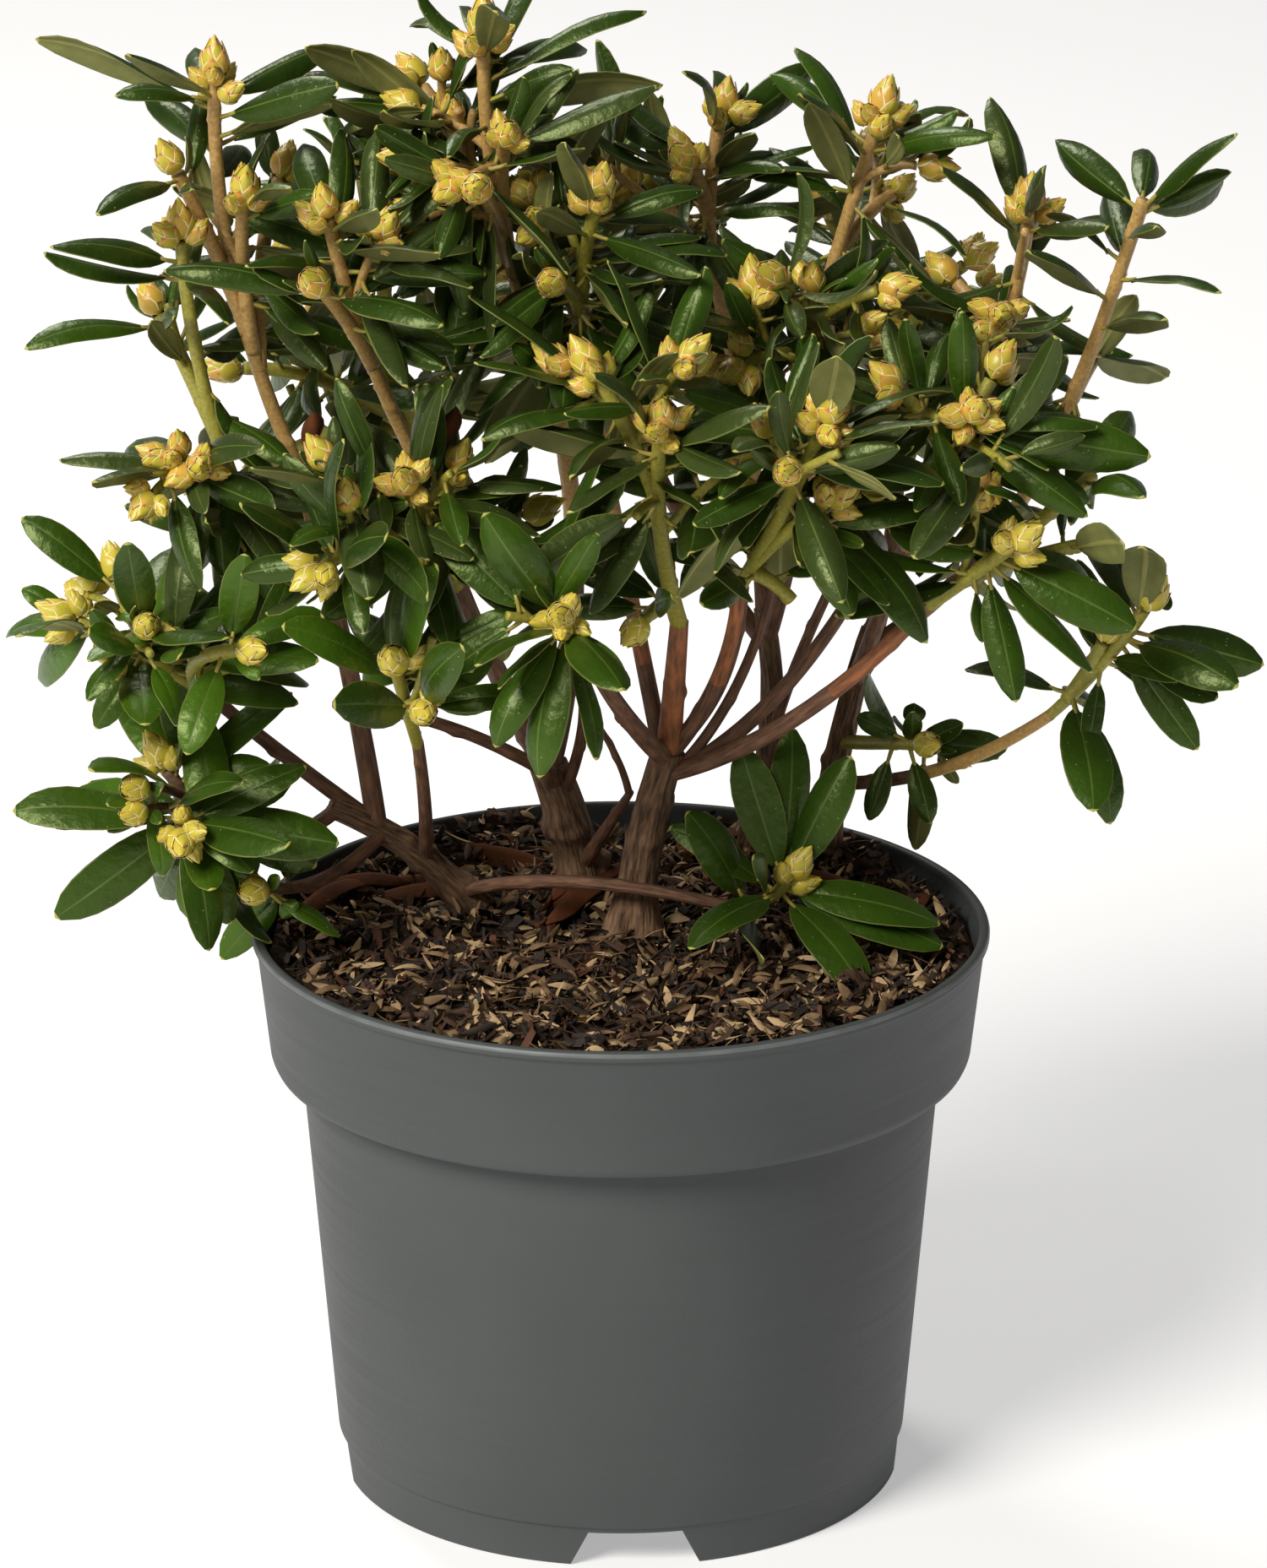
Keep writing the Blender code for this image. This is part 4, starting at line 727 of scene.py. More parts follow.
def sweep(sheaf, points, radii, sides, look, relief=None):
    """A closed tube along smooth points. relief gives a share of the radius to add."""
    spots = np.array([tuple(point) for point in points])
    ways = np.gradient(spots, axis=0)
    across = np.cross(ways[0], (0.31, 0.94, 0.12))
    runs = np.concatenate([[0], np.cumsum(np.linalg.norm(np.diff(spots, axis=0), axis=1))])
    turns = np.linspace(0, 2 * math.pi, sides, endpoint=False)
    rings = []
    flat = []
    for spot, way, radius, run in zip(spots, ways, radii, runs):
        way = unit(way)
        across = unit(across - way * across.dot(way))
        second = np.cross(way, across)
        size = radius * (1 + (relief(turns, run) if relief else 0 * turns))
        rings.append(spot + np.outer(size * np.cos(turns), across)
                     + np.outer(size * np.sin(turns), second))
        flat.append(np.column_stack([turns * 0 + run, turns / (2 * math.pi)]))
    looks = look if isinstance(look, list) else [look] * len(rings)
    looks = [looks[i] for i in range(len(rings) - 1) for _ in range(sides)]
    looks += [looks[0], looks[-1]]
    sheaf.add(np.concatenate(rings), closed_tube_faces(len(rings), sides), looks,
              np.concatenate(flat))


# Leaf outline: places across it from one margin over the top to the other, and back below.
TOP_ACROSS = (-1, -0.95, -0.5, -0.045, 0, 0.045, 0.5, 0.95, 1)
BELOW_ACROSS = (0.95, 0.5, 0.11, 0, -0.11, -0.5, -0.95)
LEAF_ROWS = np.array([0, 0.05, 0.14, 0.26, 0.39, 0.52, 0.65, 0.77, 0.88, 0.98, 1])
STRIPS = [MARGIN, TOP, TOP, VEIN, VEIN, TOP, TOP, MARGIN,
          UNDER, UNDER, UNDER, UNDER_VEIN, UNDER_VEIN, UNDER, UNDER, UNDER]
LEAF_FACES = closed_tube_faces(len(LEAF_ROWS), len(STRIPS))
LEAF_FACE_LOOKS = STRIPS * (len(LEAF_ROWS) - 2) + [POINT] * len(STRIPS) + [STALK, POINT]


def leaf_outline(shares):
    """Half the width of a blade along it, as a share of its greatest half width."""
    skewed = shares ** 1.08
    return np.clip(1 - np.abs(2 * skewed - 1) ** 2.3, 0, 1) ** 0.62


Blade = namedtuple("Blade", "root base tip normal width arch roll twist wave")


def blade_axes(blade):
    """Centre line, side and normal at every row of the leaf."""
    base = np.array(blade.base)
    chord = np.array(blade.tip) - base
    normal = np.array(blade.normal)
    length = np.linalg.norm(chord)
    rise = blade.arch * length
    t = LEAF_ROWS[:, None]
    line = base + chord * t + normal * rise * (4 * t * (1 - t)) * (0.75 + 0.5 * t)
    ways = np.gradient(line, LEAF_ROWS, axis=0)
    ways /= np.linalg.norm(ways, axis=1)[:, None]
    side = np.cross(chord / length, normal)
    sides = np.repeat(side[None], len(LEAF_ROWS), axis=0)
    tops = np.cross(sides, ways)
    angle = blade.twist * (t - 0.4)
    turned = sides * np.cos(angle) + tops * np.sin(angle)
    tops = tops * np.cos(angle) - sides * np.sin(angle)
    return line, turned, tops


def half_width(blade):
    return leaf_outline(LEAF_ROWS) * blade.width / 2


def add_leaf(sheaf, blade, tint):
    """One leaf: a curved blade with a sunk midrib, rolled margins, an underside and its stalk."""
    line, sides, tops = blade_axes(blade)
    half = np.maximum(half_width(blade), np.where(LEAF_ROWS < 0.5, 0.0007, 0.00012))[:, None]
    across = np.array(TOP_ACROSS + BELOW_ACROSS)[None]
    below = np.array([0] * len(TOP_ACROSS) + [1] * len(BELOW_ACROSS))[None]
    t = LEAF_ROWS[:, None]
    height = -blade.roll * half * np.abs(across) ** 2.2
    height = height + 0.0004 * blade.wave * np.abs(across) * np.sin(9 * t + 3 * blade.wave)
    groove = np.where(np.abs(across) < 0.01, 1, 0) * (1 - t)
    height = height - (1 - below) * groove * 0.00018 - below * (LEAF_THICKNESS + groove * 0.0006)
    corners = (line[:, None] + sides[:, None] * (across * half)[..., None]
               + tops[:, None] * height[..., None])
    looks = [TOP + tint if look == TOP else look for look in LEAF_FACE_LOOKS]
    flat = np.stack([np.broadcast_to(across * 0.5 + 0.5, height.shape),
                     np.broadcast_to(t, height.shape)], axis=-1)
    sheaf.add(corners.reshape(-1, 3), LEAF_FACES, looks, flat.reshape(-1, 2))
    root, base = Vector(blade.root), Vector(line[1])
    bend = Vector(blade.normal) * -(base - root).length * 0.06
    sweep(sheaf, arc(root, base, bend, 4), (0.0009, 0.0008, 0.0007, 0.0006), 5, STALK)


def proxy_of(blade):
    """A coarse sheet for the blade beyond its stalk, which tells whether two leaves cross."""
    line, sides, tops = blade_axes(blade)
    half = half_width(blade)
    rows = [i for i, t in enumerate(LEAF_ROWS) if t >= 0.22][::2]
    corners = []
    for i in rows:
        drop = -blade.roll * half[i]
        for across in (-1, 0, 1):
            lower = tops[i] * (drop if across else 0)
            corners.append(tuple(line[i] + sides[i] * across * max(half[i], 0.0005) + lower))
    faces = []
    for a, b, c, d in sheet_faces(len(rows), 3):
        faces += [(a, b, c), (a, c, d)]
    return corners, faces


def bud_profile(height):
    return np.clip(np.sin(math.pi * np.clip(height, 0, 1) ** 0.64), 0, 1) ** 0.9


def bud_shape():
    """A bud one unit long and wide: a pointed core and overlapping scales, by kind of face."""
    sides = 8
    corners = []
    heights = np.array([0.0, 0.12, 0.32, 0.55, 0.78, 0.98])
    for height in heights:
        for j in range(sides):
            turn = 2 * math.pi * j / sides
            reach = max(bud_profile(height) * 0.96, 0.05)
            corners.append((reach * math.cos(turn), reach * math.sin(turn), height))
    faces = tube_faces(len(heights), sides)
    kinds = ["scale"] * len(faces)
    columns = np.array([-1, -0.84, -0.4, 0, 0.4, 0.84, 1])
    rows = np.array([0, 0.3, 0.6, 0.84, 1])
    for scale in range(10):
        low = 0.46 * scale / 9
        high = low + 0.50
        faces += sheet_faces(len(rows), len(columns), len(corners))
        for v in rows:
            width = 0.95 * (1 - v ** 2.6) + 0.02
            height = low + (high - low) * v
            for u in columns:
                lift = 0.04 + 0.10 * v * v + 0.06 * (1 - abs(u)) * v - 0.004 * scale
                reach = bud_profile(min(height, 0.97)) + lift
                turn = GOLDEN_TURN * scale + u * width
                corners.append((reach * math.cos(turn), reach * math.sin(turn),
                                height * (1 - 0.03 * abs(u))))
        for i in range(len(rows) - 1):
            plain = "flush" if scale % 3 == 1 or (i > 1 and scale % 3 == 0) else "scale"
            inner = "tip" if i == len(rows) - 2 else plain
            kinds += ["edge"] + [inner] * (len(columns) - 3) + ["edge"]
    return np.array(corners), faces, kinds


BUD_CORNERS, BUD_FACES, BUD_KINDS = bud_shape()


def add_bud(sheaf, foot, heading, length, radius, gold, turn):
    corners = BUD_CORNERS * (radius, radius, length)
    cos, sin = math.cos(turn), math.sin(turn)
    corners = corners @ np.array([(cos, sin, 0), (-sin, cos, 0), (0, 0, 1)])
    matrix = np.array(heading.to_track_quat("Z", "X").to_matrix())
    corners = corners @ matrix.T + np.array(foot)
    look = {"scale": BUD_GREEN, "flush": BUD_GOLD if gold else BUD_GREEN, "edge": BUD_EDGE,
            "tip": BUD_TIP if gold else BUD_GOLD}
    sheaf.add(corners, BUD_FACES, [look[kind] for kind in BUD_KINDS])


# Trunks and boughs

def route_limbs():
    """The middle line of every trunk and bough, by name."""
    routes = {}
    for name, limb in LIMBS.items():
        if limb.foot:
            start = Vector((limb.foot[0] * MM, limb.foot[1] * MM, SOIL_TOP + 0.0003))
        else:
            start = along(routes[limb.parent], limb.at)[0]
        routes[name] = arc(start, mm(limb.tip), mm(limb.bow), 60)
    return routes


def limb_radius(limb, t):
    foot, tip = limb.radii
    flare = 1 + (limb.flare - 1) * max(1 - 3 * t, 0) ** 1.5
    return (foot + (tip - foot) * t) * flare * MM


def bark_look(name, place, t):
    """Old bark low down, then brown, then the tan of the young wood."""
    height = place.z / MM
    if name in TRUNKS:
        return BARK_OLD
    if name == "bough_centre":
        return BARK_ORANGE
    if height >= 300 or (name == "bough_reach_right" and t > 0.4):
        return BARK_YOUNG
    reddish = name in ("bough_right", "bough_right_inner", "bough_middle")
    return BARK_ORANGE if height >= 262 and reddish else BARK_BROWN


def bark_relief(trunk, span, rng):
    """Ridges along the bark, a few seeded lumps, and the spread foot of a trunk."""
    ridges = ripples(rng, 7, 3, 9)
    fine = ripples(rng, 6, 6, 15)
    lumps = [(rng.uniform(0, FULL_TURN), rng.uniform(0.15, 0.95) * span)
             for _ in range(5 if trunk else 3)]
    strength = 0.085 if trunk else 0.05

    def relief(turns, run):
        total = strength * ridges(turns, run * 34) + strength * 0.6 * fine(turns, run * 90)
        for lump_turn, lump_run in lumps:
            near = np.cos(turns - lump_turn) - 1 - ((run - lump_run) / 0.004) ** 2
            total = total + 0.30 * np.exp(near * 4)
        if trunk:
            total = total + 0.16 * np.cos(3 * turns + lumps[0][0]) * math.exp(-run / 0.014)
        return total

    return relief


def build_limbs(routes, rng):
    for name, limb in LIMBS.items():
        trunk = name in TRUNKS
        span = span_of(routes[name])
        count = max(int(span / 0.0014), 12)
        spots = spots_along(routes[name], count)
        radii = [limb_radius(limb, i / (count - 1)) for i in range(count)]
        looks = [bark_look(name, spots[i], i / count) for i in range(count)]
        sheaf = Sheaf()
        sweep(sheaf, spots, radii, 30 if trunk else 16, looks, bark_relief(trunk, span, rng))
        mesh = sheaf.mesh(f"bark_{name}", BARK_LOOKS)
        if trunk:
            for vert in mesh.vertices:
                vert.co.z = max(vert.co.z, SOIL_TOP - 0.002)
        host = name
        while host in FINE_LIMBS:
            host = LIMBS[host].parent
        piece(f"bark_{name}", mesh, host)


# Twigs and sprays

Twig = namedtuple("Twig", "route radii shoot")


def twig_foot(mass, index, tip, twigs, routes):
    """Where a twig leaves its limb or the mass's main twig, the way it leaves, and its radius."""
    if index:
        main = twigs[0].route
        back = tip - along(main, 1)[1] * (main[-1] - main[0]).length * FORK_BACK
        forks = [along(main, i / 20) for i in range(2, 19)]
        place, heading = min(forks, key=lambda fork: (fork[0] - back).length)
        return place, heading, TWIG_TIP_RADIUS * 1.15
    place, heading = along(routes[mass.parent], mass.at)
    limb = LIMBS[mass.parent]
    if mass.at == 1:
        return place - heading * 0.001, heading, limb_radius(limb, 1)
    return place, (tip - place).normalized(), min(TWIG_FOOT_RADIUS, limb.radii[1] * MM * 0.95)


def plan_twigs(routes):
    """Route every shoot that the masses name."""
    plans = {}
    for name, mass in MASSES.items():
        twigs = []
        for index, shoot in enumerate(mass.shoots):
            tip = mm(shoot.tip)
            foot, lead, radius = twig_foot(mass, index, tip, twigs, routes)
            bow = lead * (tip - foot).length * 0.12 - (tip - foot) * 0.05
            if not index and name in BARE_SHOOTS:
                bow = Vector((BARE_SHOOTS[name][0] * MM, 0, 0))
            radii = [radius + (TWIG_TIP_RADIUS - radius) * i / 15 for i in range(16)]
            twigs.append(Twig(arc(foot, tip, bow, 16), radii, shoot))
        plans[name] = twigs
    return plans


def add_side_shoots(plans, wood, rng):
    """A few seeded side shoots that fill each mass from inside, clear of gaps and bare stems."""
    for twigs in plans.values():
        for twig in list(twigs):
            sparse = span_of(twig.route) > 0.03 and len(twig.shoot.leaves) < MANY_MARKED
            for k in range(SIDE_SHOOTS if sparse else 0):
                place, way = along(twig.route, 0.35 + 0.4 * (k + rng.random() * 0.6) / SIDE_SHOOTS)
                outward = (place - Vector((0, 0.02, place.z))).normalized()
                side = sideways(way, rng.uniform(0, FULL_TURN))
                side = (side + outward * 0.6 + Vector((0, 0, 0.35)) + way * 0.5).normalized()
                tip = place + side * rng.uniform(0.018, 0.032)
                shown = [place + (tip - place) * share for share in (0.6, 1, 1.3, 1.8)]
                if (shows_in_a_gap(shown) or not inside_room(tip)
                        or near_wood(shown[1:], wood, SHOOT_MARGIN)):
                    continue
                route = arc(place, tip, way * 0.002, 8)
                shoot = Shoot(tuple(tip / MM), rng.choice((0, 0, 1, 2, 3)), None)
                twigs.append(Twig(route, [SIDE_SHOOT_RADIUS] * 8, shoot))


def in_front_view(points):
    """Where points fall in the front view: across and above its middle, and how far off."""
    x, y, z = ((np.array(points) - np.array(VIEW_MIDDLE) * MM) / MM).T
    depth = VIEW_DISTANCE / MM + y * math.cos(VIEW_ANGLE) - z * math.sin(VIEW_ANGLE)
    nearness = VIEW_DISTANCE / MM / depth
    above = (z * math.cos(VIEW_ANGLE) + y * math.sin(VIEW_ANGLE)) * nearness
    return np.column_stack([x * nearness + VIEW_MIDDLE[0], above, depth])


def shows_in_a_gap(points):
    """True where any of the points would close one of the gaps that the sky shows through."""
    gaps = np.array(SKY_GAPS, dtype=float)
    seen = in_front_view(points)[:, None, :2]
    return bool((((seen - gaps[:, :2]) / gaps[:, 2:]) ** 2).sum(axis=2).min() < 1)


def bare_wood(routes, plans):
    """Where the stems that show bare fall in the front view, every two millimetres."""
    spots = []
    for name, (first, last) in BARE_LIMBS.items():
        count = int(span_of(routes[name]) / 0.002)
        shares = [i / count for i in range(count + 1)]
        spots += [along(routes[name], share)[0] for share in shares if first <= share <= last]
    for name, (_, length) in BARE_SHOOTS.items():
        route = plans[name][0].route
        downs = [down for down in range(BARE_FROM, length, 2) if down * MM < span_of(route)]
        spots += [root_of(route, down * MM) for down in downs]
    return in_front_view(spots)


def shown_buds(buds):
    """Where the named shoots' buds fall in the front view, but for the masses at the back."""
    spots = [foot + heading * BUD_LENGTH * size * share
             for name, clusters in buds.items() if name not in BACK_MASSES
             for foot, heading, size, named in clusters if named
             for share in (0.3, 0.7)]
    return in_front_view(spots)


def near_wood(points, wood, margin):
    """True where any of the points passes before one of the stems that show bare."""
    seen = in_front_view(points)
    gaps = np.linalg.norm(seen[:, None, :2] - wood[None, :, :2], axis=2)
    nearer = seen[:, None, 2] < wood[None, :, 2] + 1
    return bool((nearer & (gaps < margin)).any())


def outer_part(blade):
    """Points on a blade's middle and edges, past its first fifth."""
    line, sides, _ = blade_axes(blade)
    half = half_width(blade)[:, None] * 0.8
    outer = LEAF_ROWS > 0.2
    return np.concatenate([line[outer], (line + sides * half)[outer], (line - sides * half)[outer]])


def inside_room(point):
    """Inside the box of the solids, and clear of the soil and of the pot's wall."""
    if any(not low - 0.001 <= value <= high + 0.001
           for low, value, high in zip(cad_low, point, cad_high)):
        return False
    across = math.hypot(point.x, point.y)
    return across > RIM_RADIUS + 0.003 or point.z > POT_HEIGHT + 0.002


def marked_leaf(tip, root, across, above, lean):
    """From a leaf's root to its tip, which shows at the given place in the front view."""
    up_the_view = Vector((0, math.sin(VIEW_ANGLE), math.cos(VIEW_ANGLE)))
    to_the_viewer = Vector((0, -math.cos(VIEW_ANGLE), math.sin(VIEW_ANGLE)))
    flat = tip + Vector((across, 0, 0)) * MM + up_the_view * above * MM - root
    flat -= to_the_viewer * flat.dot(to_the_viewer)
    spare = (WHOLE_LEAF ** 2 - flat.length_squared) if lean else 0
    return flat + to_the_viewer * math.copysign(math.sqrt(max(spare, 0)), lean)


def root_of(route, down):
    """The place on a twig this far below its tip."""
    return along(route, 1 - min(down / span_of(route), 0.9))[0]


class Crown:
    """The leaves placed so far. A new one must cross none of them, and no limb."""

    def __init__(self, limbs, buds, wood):
        self.limbs = limbs
        self.buds = buds
        self.wood = wood
        self.sheets = {name: ([], []) for name in MASSES}
        self.trees = {}
        self.blades = {name: [] for name in MASSES}

    def fits(self, blade, marked=False):
        """A leaf that marks the outline may also pass before gaps, buds and bare stems."""
        tree = BVHTree.FromPolygons(*proxy_of(blade))
        if tree.overlap(self.limbs):
            return False
        if not marked:
            points = outer_part(blade)
            if shows_in_a_gap(points) or near_wood(points, self.wood, STEM_MARGIN):
                return False
            if tree.overlap(self.buds):
                return False
        return not any(tree.overlap(other) for other in self.trees.values())

    def keep(self, name, blade, tint):
        corners, faces = self.sheets[name]
        first = len(corners)
        more_corners, more_faces = proxy_of(blade)
        corners += more_corners
        faces += [tuple(first + i for i in face) for face in more_faces]
        self.trees[name] = BVHTree.FromPolygons(corners, faces)
        self.blades[name].append((blade, tint))


def hang_withered(crown):
    """The few dried leaves that hang in the crown. The green ones keep clear of them."""
    sheaf = Sheaf()
    facing = Vector((0.2, -0.9, 0.2)).normalized()
    for foot, tip in WITHERED_LEAVES:
        blade = Blade(mm(foot), mm(foot), mm(tip), facing, 0.007, 0.12, 1.2, 0.8, 1)
        add_leaf(sheaf, blade, 0)
        crown.trees[foot] = BVHTree.FromPolygons(*proxy_of(blade))
    mesh = sheaf.mesh("withered_leaves", [DRY_LEAF] * len(LEAF_LOOKS))
    piece("withered_leaves", mesh, "foliage_front_left")


def lowness(place):
    """0 in the upper crown, where leaves stand up narrow, and 1 low down, where they lie broad."""
    return min(max((UPPER_CROWN - place.z) / (UPPER_CROWN - LOWER_CROWN), 0), 1)


def face_up(root, reach, axis, turn):
    """The way a leaf's top faces: to its shoot's tip and the sky, and low down to the light."""
    heading = reach.normalized()
    outward = (-0.9 if root.y < 0.05 else 0.6) * lowness(root) ** 2
    hint = axis * (1 - 0.4 * lowness(root)) + Vector((0, outward - 0.05, 0.8))
    hint -= heading * hint.dot(heading)
    if hint.length < 0.2:
        hint = heading.orthogonal()
    hint.normalize()
    hint.rotate(Matrix.Rotation(turn, 3, heading))
    return hint


def blade_for(root, reach, axis, rng, stalk=LEAF_STALK, narrow=NARROW_LEAF, drooping=0.25):
    heading = reach.normalized()
    low = lowness(root)
    normal = face_up(root, reach, axis, rng.gauss(0, 0.62 - 0.3 * low))
    share = UPPER_WIDTH_SHARE + (LOWER_WIDTH_SHARE - UPPER_WIDTH_SHARE) * low
    width = min(max((reach.length - stalk) * share * rng.uniform(0.80, 1.16), narrow), BROAD_LEAF)
    base = root + heading * stalk
    arch = rng.uniform(-0.10, -0.02) if rng.random() < drooping else rng.uniform(0.03, 0.14)
    roll = max(rng.uniform(0.35, 0.9) - 0.45 * low, 0.1)
    return Blade(root, base, root + reach, normal, width, arch, roll, rng.gauss(0, 0.4),
                 rng.uniform(-1, 1))


def spray_tint(shoot_tip, rng):
    """The greens of one spray: fresh low on the left, blue and deep high up."""
    if shoot_tip.z < 0.30 and shoot_tip.x < -0.02:
        return rng.choice((1, 2, 2))
    if shoot_tip.z > 0.36 or shoot_tip.y < -0.03:
        return rng.choice((0, 0, 1, 3))
    return rng.choice((0, 1, 1, 3))


def add_marked_leaves(crown, name, twig, tint, rng):
    """The leaves that mark the outline. One that is blocked leans less, or the other way."""
    tip, axis = twig.route[-1], along(twig.route, 1)[1]
    for across, above, lean, down in twig.shoot.leaves:
        root = root_of(twig.route, down * MM)
        flat = marked_leaf(tip, root, across, above, 0)
        leaning = marked_leaf(tip, root, across, above, lean)
        for share in MARKED_TRIES:
            blade = blade_for(root, flat + (leaning - flat) * share, axis, rng, drooping=0)
            if crown.fits(blade, marked=True):
                crown.keep(name, blade, tint)
                break


def add_young_leaves(crown, name, twig, tint, rng):
    """The small narrow leaves that stand up among the buds."""
    tip, axis = along(twig.route, 1)
    for k in range(YOUNG_LEAVES):
        across = sideways(axis, GOLDEN_TURN * k + tip.y * 70)
        spread = rng.uniform(0.35, 0.9)
        reach = (axis * math.cos(spread) + across * math.sin(spread)) * rng.uniform(0.012, 0.021)
        root = root_of(twig.route, rng.uniform(0.002, 0.006))
        blade = blade_for(root, reach, axis, rng, 0.002, 0.0036)
        if crown.fits(blade):
            crown.keep(name, blade, tint)


def spray_leaf(crown, place, axis, across, k, space, rng):
    """A leaf of the spiral, which opens wider at each try until it fits, or None."""
    middle, room = space
    for attempt in range(LEAF_TRIES):
        spread = math.radians(38 + 24 * lowness(place) + 6 * k + rng.uniform(-14, 18) + 10 * attempt)
        length = LEAF_STALK + rng.uniform(0.027, 0.041) * (0.75 if k < 2 else 1)
        reach = (axis * math.cos(spread) + across * math.sin(spread)) * length
        reach += Vector((0, 0, -0.0007 * k))
        shown = [place + reach * share for share in (0.35, 0.55, 0.75, 1)]
        if (place + reach - middle).length > room or not all(map(inside_room, shown)):
            continue
        blade = blade_for(place, reach, axis, rng)
        if crown.fits(blade):
            return blade
    return None


def add_spray_leaves(crown, name, twig, tint, space, rng):
    """Young leaves among the buds, and a seeded spiral of leaves down the shoot."""
    side_shoot = twig.shoot.leaves is None
    wanted = LEAVES_PER_SIDE_SHOOT if side_shoot else LEAVES_PER_SHOOT - len(twig.shoot.leaves) // 2
    start_turn = rng.uniform(0, FULL_TURN)
    if twig.shoot.buds:
        add_young_leaves(crown, name, twig, tint, rng)
    spacing = LEAF_SPACING * (0.5 if side_shoot else 1)
    for k in range(wanted + 5):
        down = FIRST_LEAF_DOWN + spacing * k
        place, axis = along(twig.route, 1 - min(down / span_of(twig.route), 0.9))
        across = sideways(axis, start_turn + GOLDEN_TURN * k)
        blade = spray_leaf(crown, place, axis, across, k, space, rng)
        if blade:
            crown.keep(name, blade, tint)
            wanted -= 1
        if wanted <= 0:
            break


def grow_crown(plans, crown, rng):
    """Marked leaves first, which draw the outline, then seeded spirals down every shoot."""
    tints = {}
    for name, twigs in plans.items():
        tints[name] = []
        for twig in twigs:
            tints[name].append(spray_tint(twig.route[-1], rng))
            if twig.shoot.leaves:
                add_marked_leaves(crown, name, twig, tints[name][-1], rng)
    for name, twigs in plans.items():
        tips = [twig.route[-1] for twig in twigs if twig.shoot.leaves is not None]
        middle = sum(tips, Vector()) / len(tips)
        room = max((tip - middle).length for tip in tips) + SPACE_MARGIN
        for twig, tint in zip(twigs, tints[name]):
            add_spray_leaves(crown, name, twig, tint, (middle, room), rng)


def plan_buds(twigs, rng):
    """A cluster on each shoot's tip: one bud goes on upwards and the others stand round it."""
    buds = []
    for twig in twigs:
        tip, heading = along(twig.route, 1)
        count = twig.shoot.buds + (1 if twig.shoot.buds > 2 else 0)
        for k in range(count):
            across = sideways(heading, GOLDEN_TURN * k + tip.x * 90)
            way = heading if k == 0 else (heading * rng.uniform(0.6, 1.4) + across).normalized()
            size = rng.uniform(1.0, 1.16) if k == 0 else rng.uniform(0.70, 0.96)
            foot = root_of(twig.route, 0.0016 * k) + way * (0.0004 if k == 0 else 0.0028)
            buds.append((foot, way, size, twig.shoot.leaves is not None))
    return buds


def limb_proxies(routes, plans):
    """Thin tubes for the limbs and twigs, that leaves keep clear of."""
    sheaf = Sheaf()
    for name, route in routes.items():
        radii = [limb_radius(LIMBS[name], i / 9) for i in range(10)]
        sweep(sheaf, spots_along(route, 10), radii, 6, 0)
    for twigs in plans.values():
        for twig in twigs:
            sweep(sheaf, twig.route[::3], twig.radii[::3], 5, 0)
    return sheaf.tree()


def bud_proxies(buds):
    """Spindles for the buds, that all but the marked leaves keep clear of."""
    sheaf = Sheaf()
    for clusters in buds.values():
        for foot, heading, size, _ in clusters:
            spots = [foot + heading * BUD_LENGTH * size * share for share in (0.12, 0.4, 0.9)]
            sweep(sheaf, spots, [BUD_RADIUS * size * share for share in (0.5, 0.9, 0.2)], 5, 0)
    return sheaf.tree()


def twig_look(name, height):
    """Young wood is green on some shoots and tan on others, and brown where it is low."""
    if height < 240 and name not in GREEN_MASSES:
        return TWIG_BROWN
    return TWIG_TAN if name in TAN_MASSES else TWIG_GREEN


def twig_relief(span, rng):
    """Soft bumps and the small scars that shed leaves left."""
    bumps = ripples(rng, 6, 1, 5)
    scars = [(rng.uniform(0, FULL_TURN), rng.uniform(0, 1) * span) for _ in range(int(span / 0.007))]

    def relief(turns, run):
        total = 0.035 * bumps(turns, run * 200)
        for scar_turn, scar_run in scars:
            near = np.cos(turns - scar_turn) - 1 - ((run - scar_run) / 0.0012) ** 2
            total = total + 0.24 * np.exp(near * 3)
        return total

    return relief


def build_twigs(name, twigs, rng):
    sheaf = Sheaf()
    for twig in twigs:
        span = span_of(twig.route)
        count = max(int(span / 0.0012), 6)
        last = len(twig.route) - 1
        radii = np.interp(np.linspace(0, last, count), range(last + 1), twig.radii)
        looks = [twig_look(name, twig.route[int(i / count * last)].z / MM) for i in range(count)]
        sweep(sheaf, spots_along(twig.route, count), radii, 10, looks, twig_relief(span, rng))
    piece(f"twigs_{name}", sheaf.mesh(f"twigs_{name}", TWIG_LOOKS), name)


def build_leaves(name, blades):
    sheaf = Sheaf()
    for blade, tint in blades:
        add_leaf(sheaf, blade, tint)
    piece(f"leaves_{name}", sheaf.mesh(f"leaves_{name}", LEAF_LOOKS), name)


def build_buds(name, buds, rng):
    sheaf = Sheaf()
    for foot, heading, size, _ in buds:
        add_bud(sheaf, foot, heading, BUD_LENGTH * size, BUD_RADIUS * size, foot.z > 0.33,
                rng.uniform(0, FULL_TURN))
    if sheaf.count:
        piece(f"buds_{name}", sheaf.mesh(f"buds_{name}", BUD_LOOKS), name)


# Pot and soil

def ring(radius, height, sides):
    turns = [2 * math.pi * j / sides for j in range(sides)]
    return [(radius * math.cos(turn), radius * math.sin(turn), height) for turn in turns]


def lathe(name, outline, sides, materials):
    """A closed solid of revolution whose outline starts and ends on the axis."""
    corners = [(0, 0, outline[0][1])]
    for radius, height in outline[1:-1]:
        corners += ring(radius, height, sides)
    corners.append((0, 0, outline[-1][1]))
    rings = len(outline) - 2
    last = 1 + (rings - 1) * sides
    faces = tube_faces(rings, sides, 1, turned=True)
    for j in range(sides):
        k = (j + 1) % sides
        faces += [(0, 1 + j, 1 + k), (len(corners) - 1, last + k, last + j)]
    mesh = bpy.data.meshes.new(name)
    mesh.from_pydata(corners, [], faces)
    for material in materials:
        mesh.materials.append(material)
    return mesh


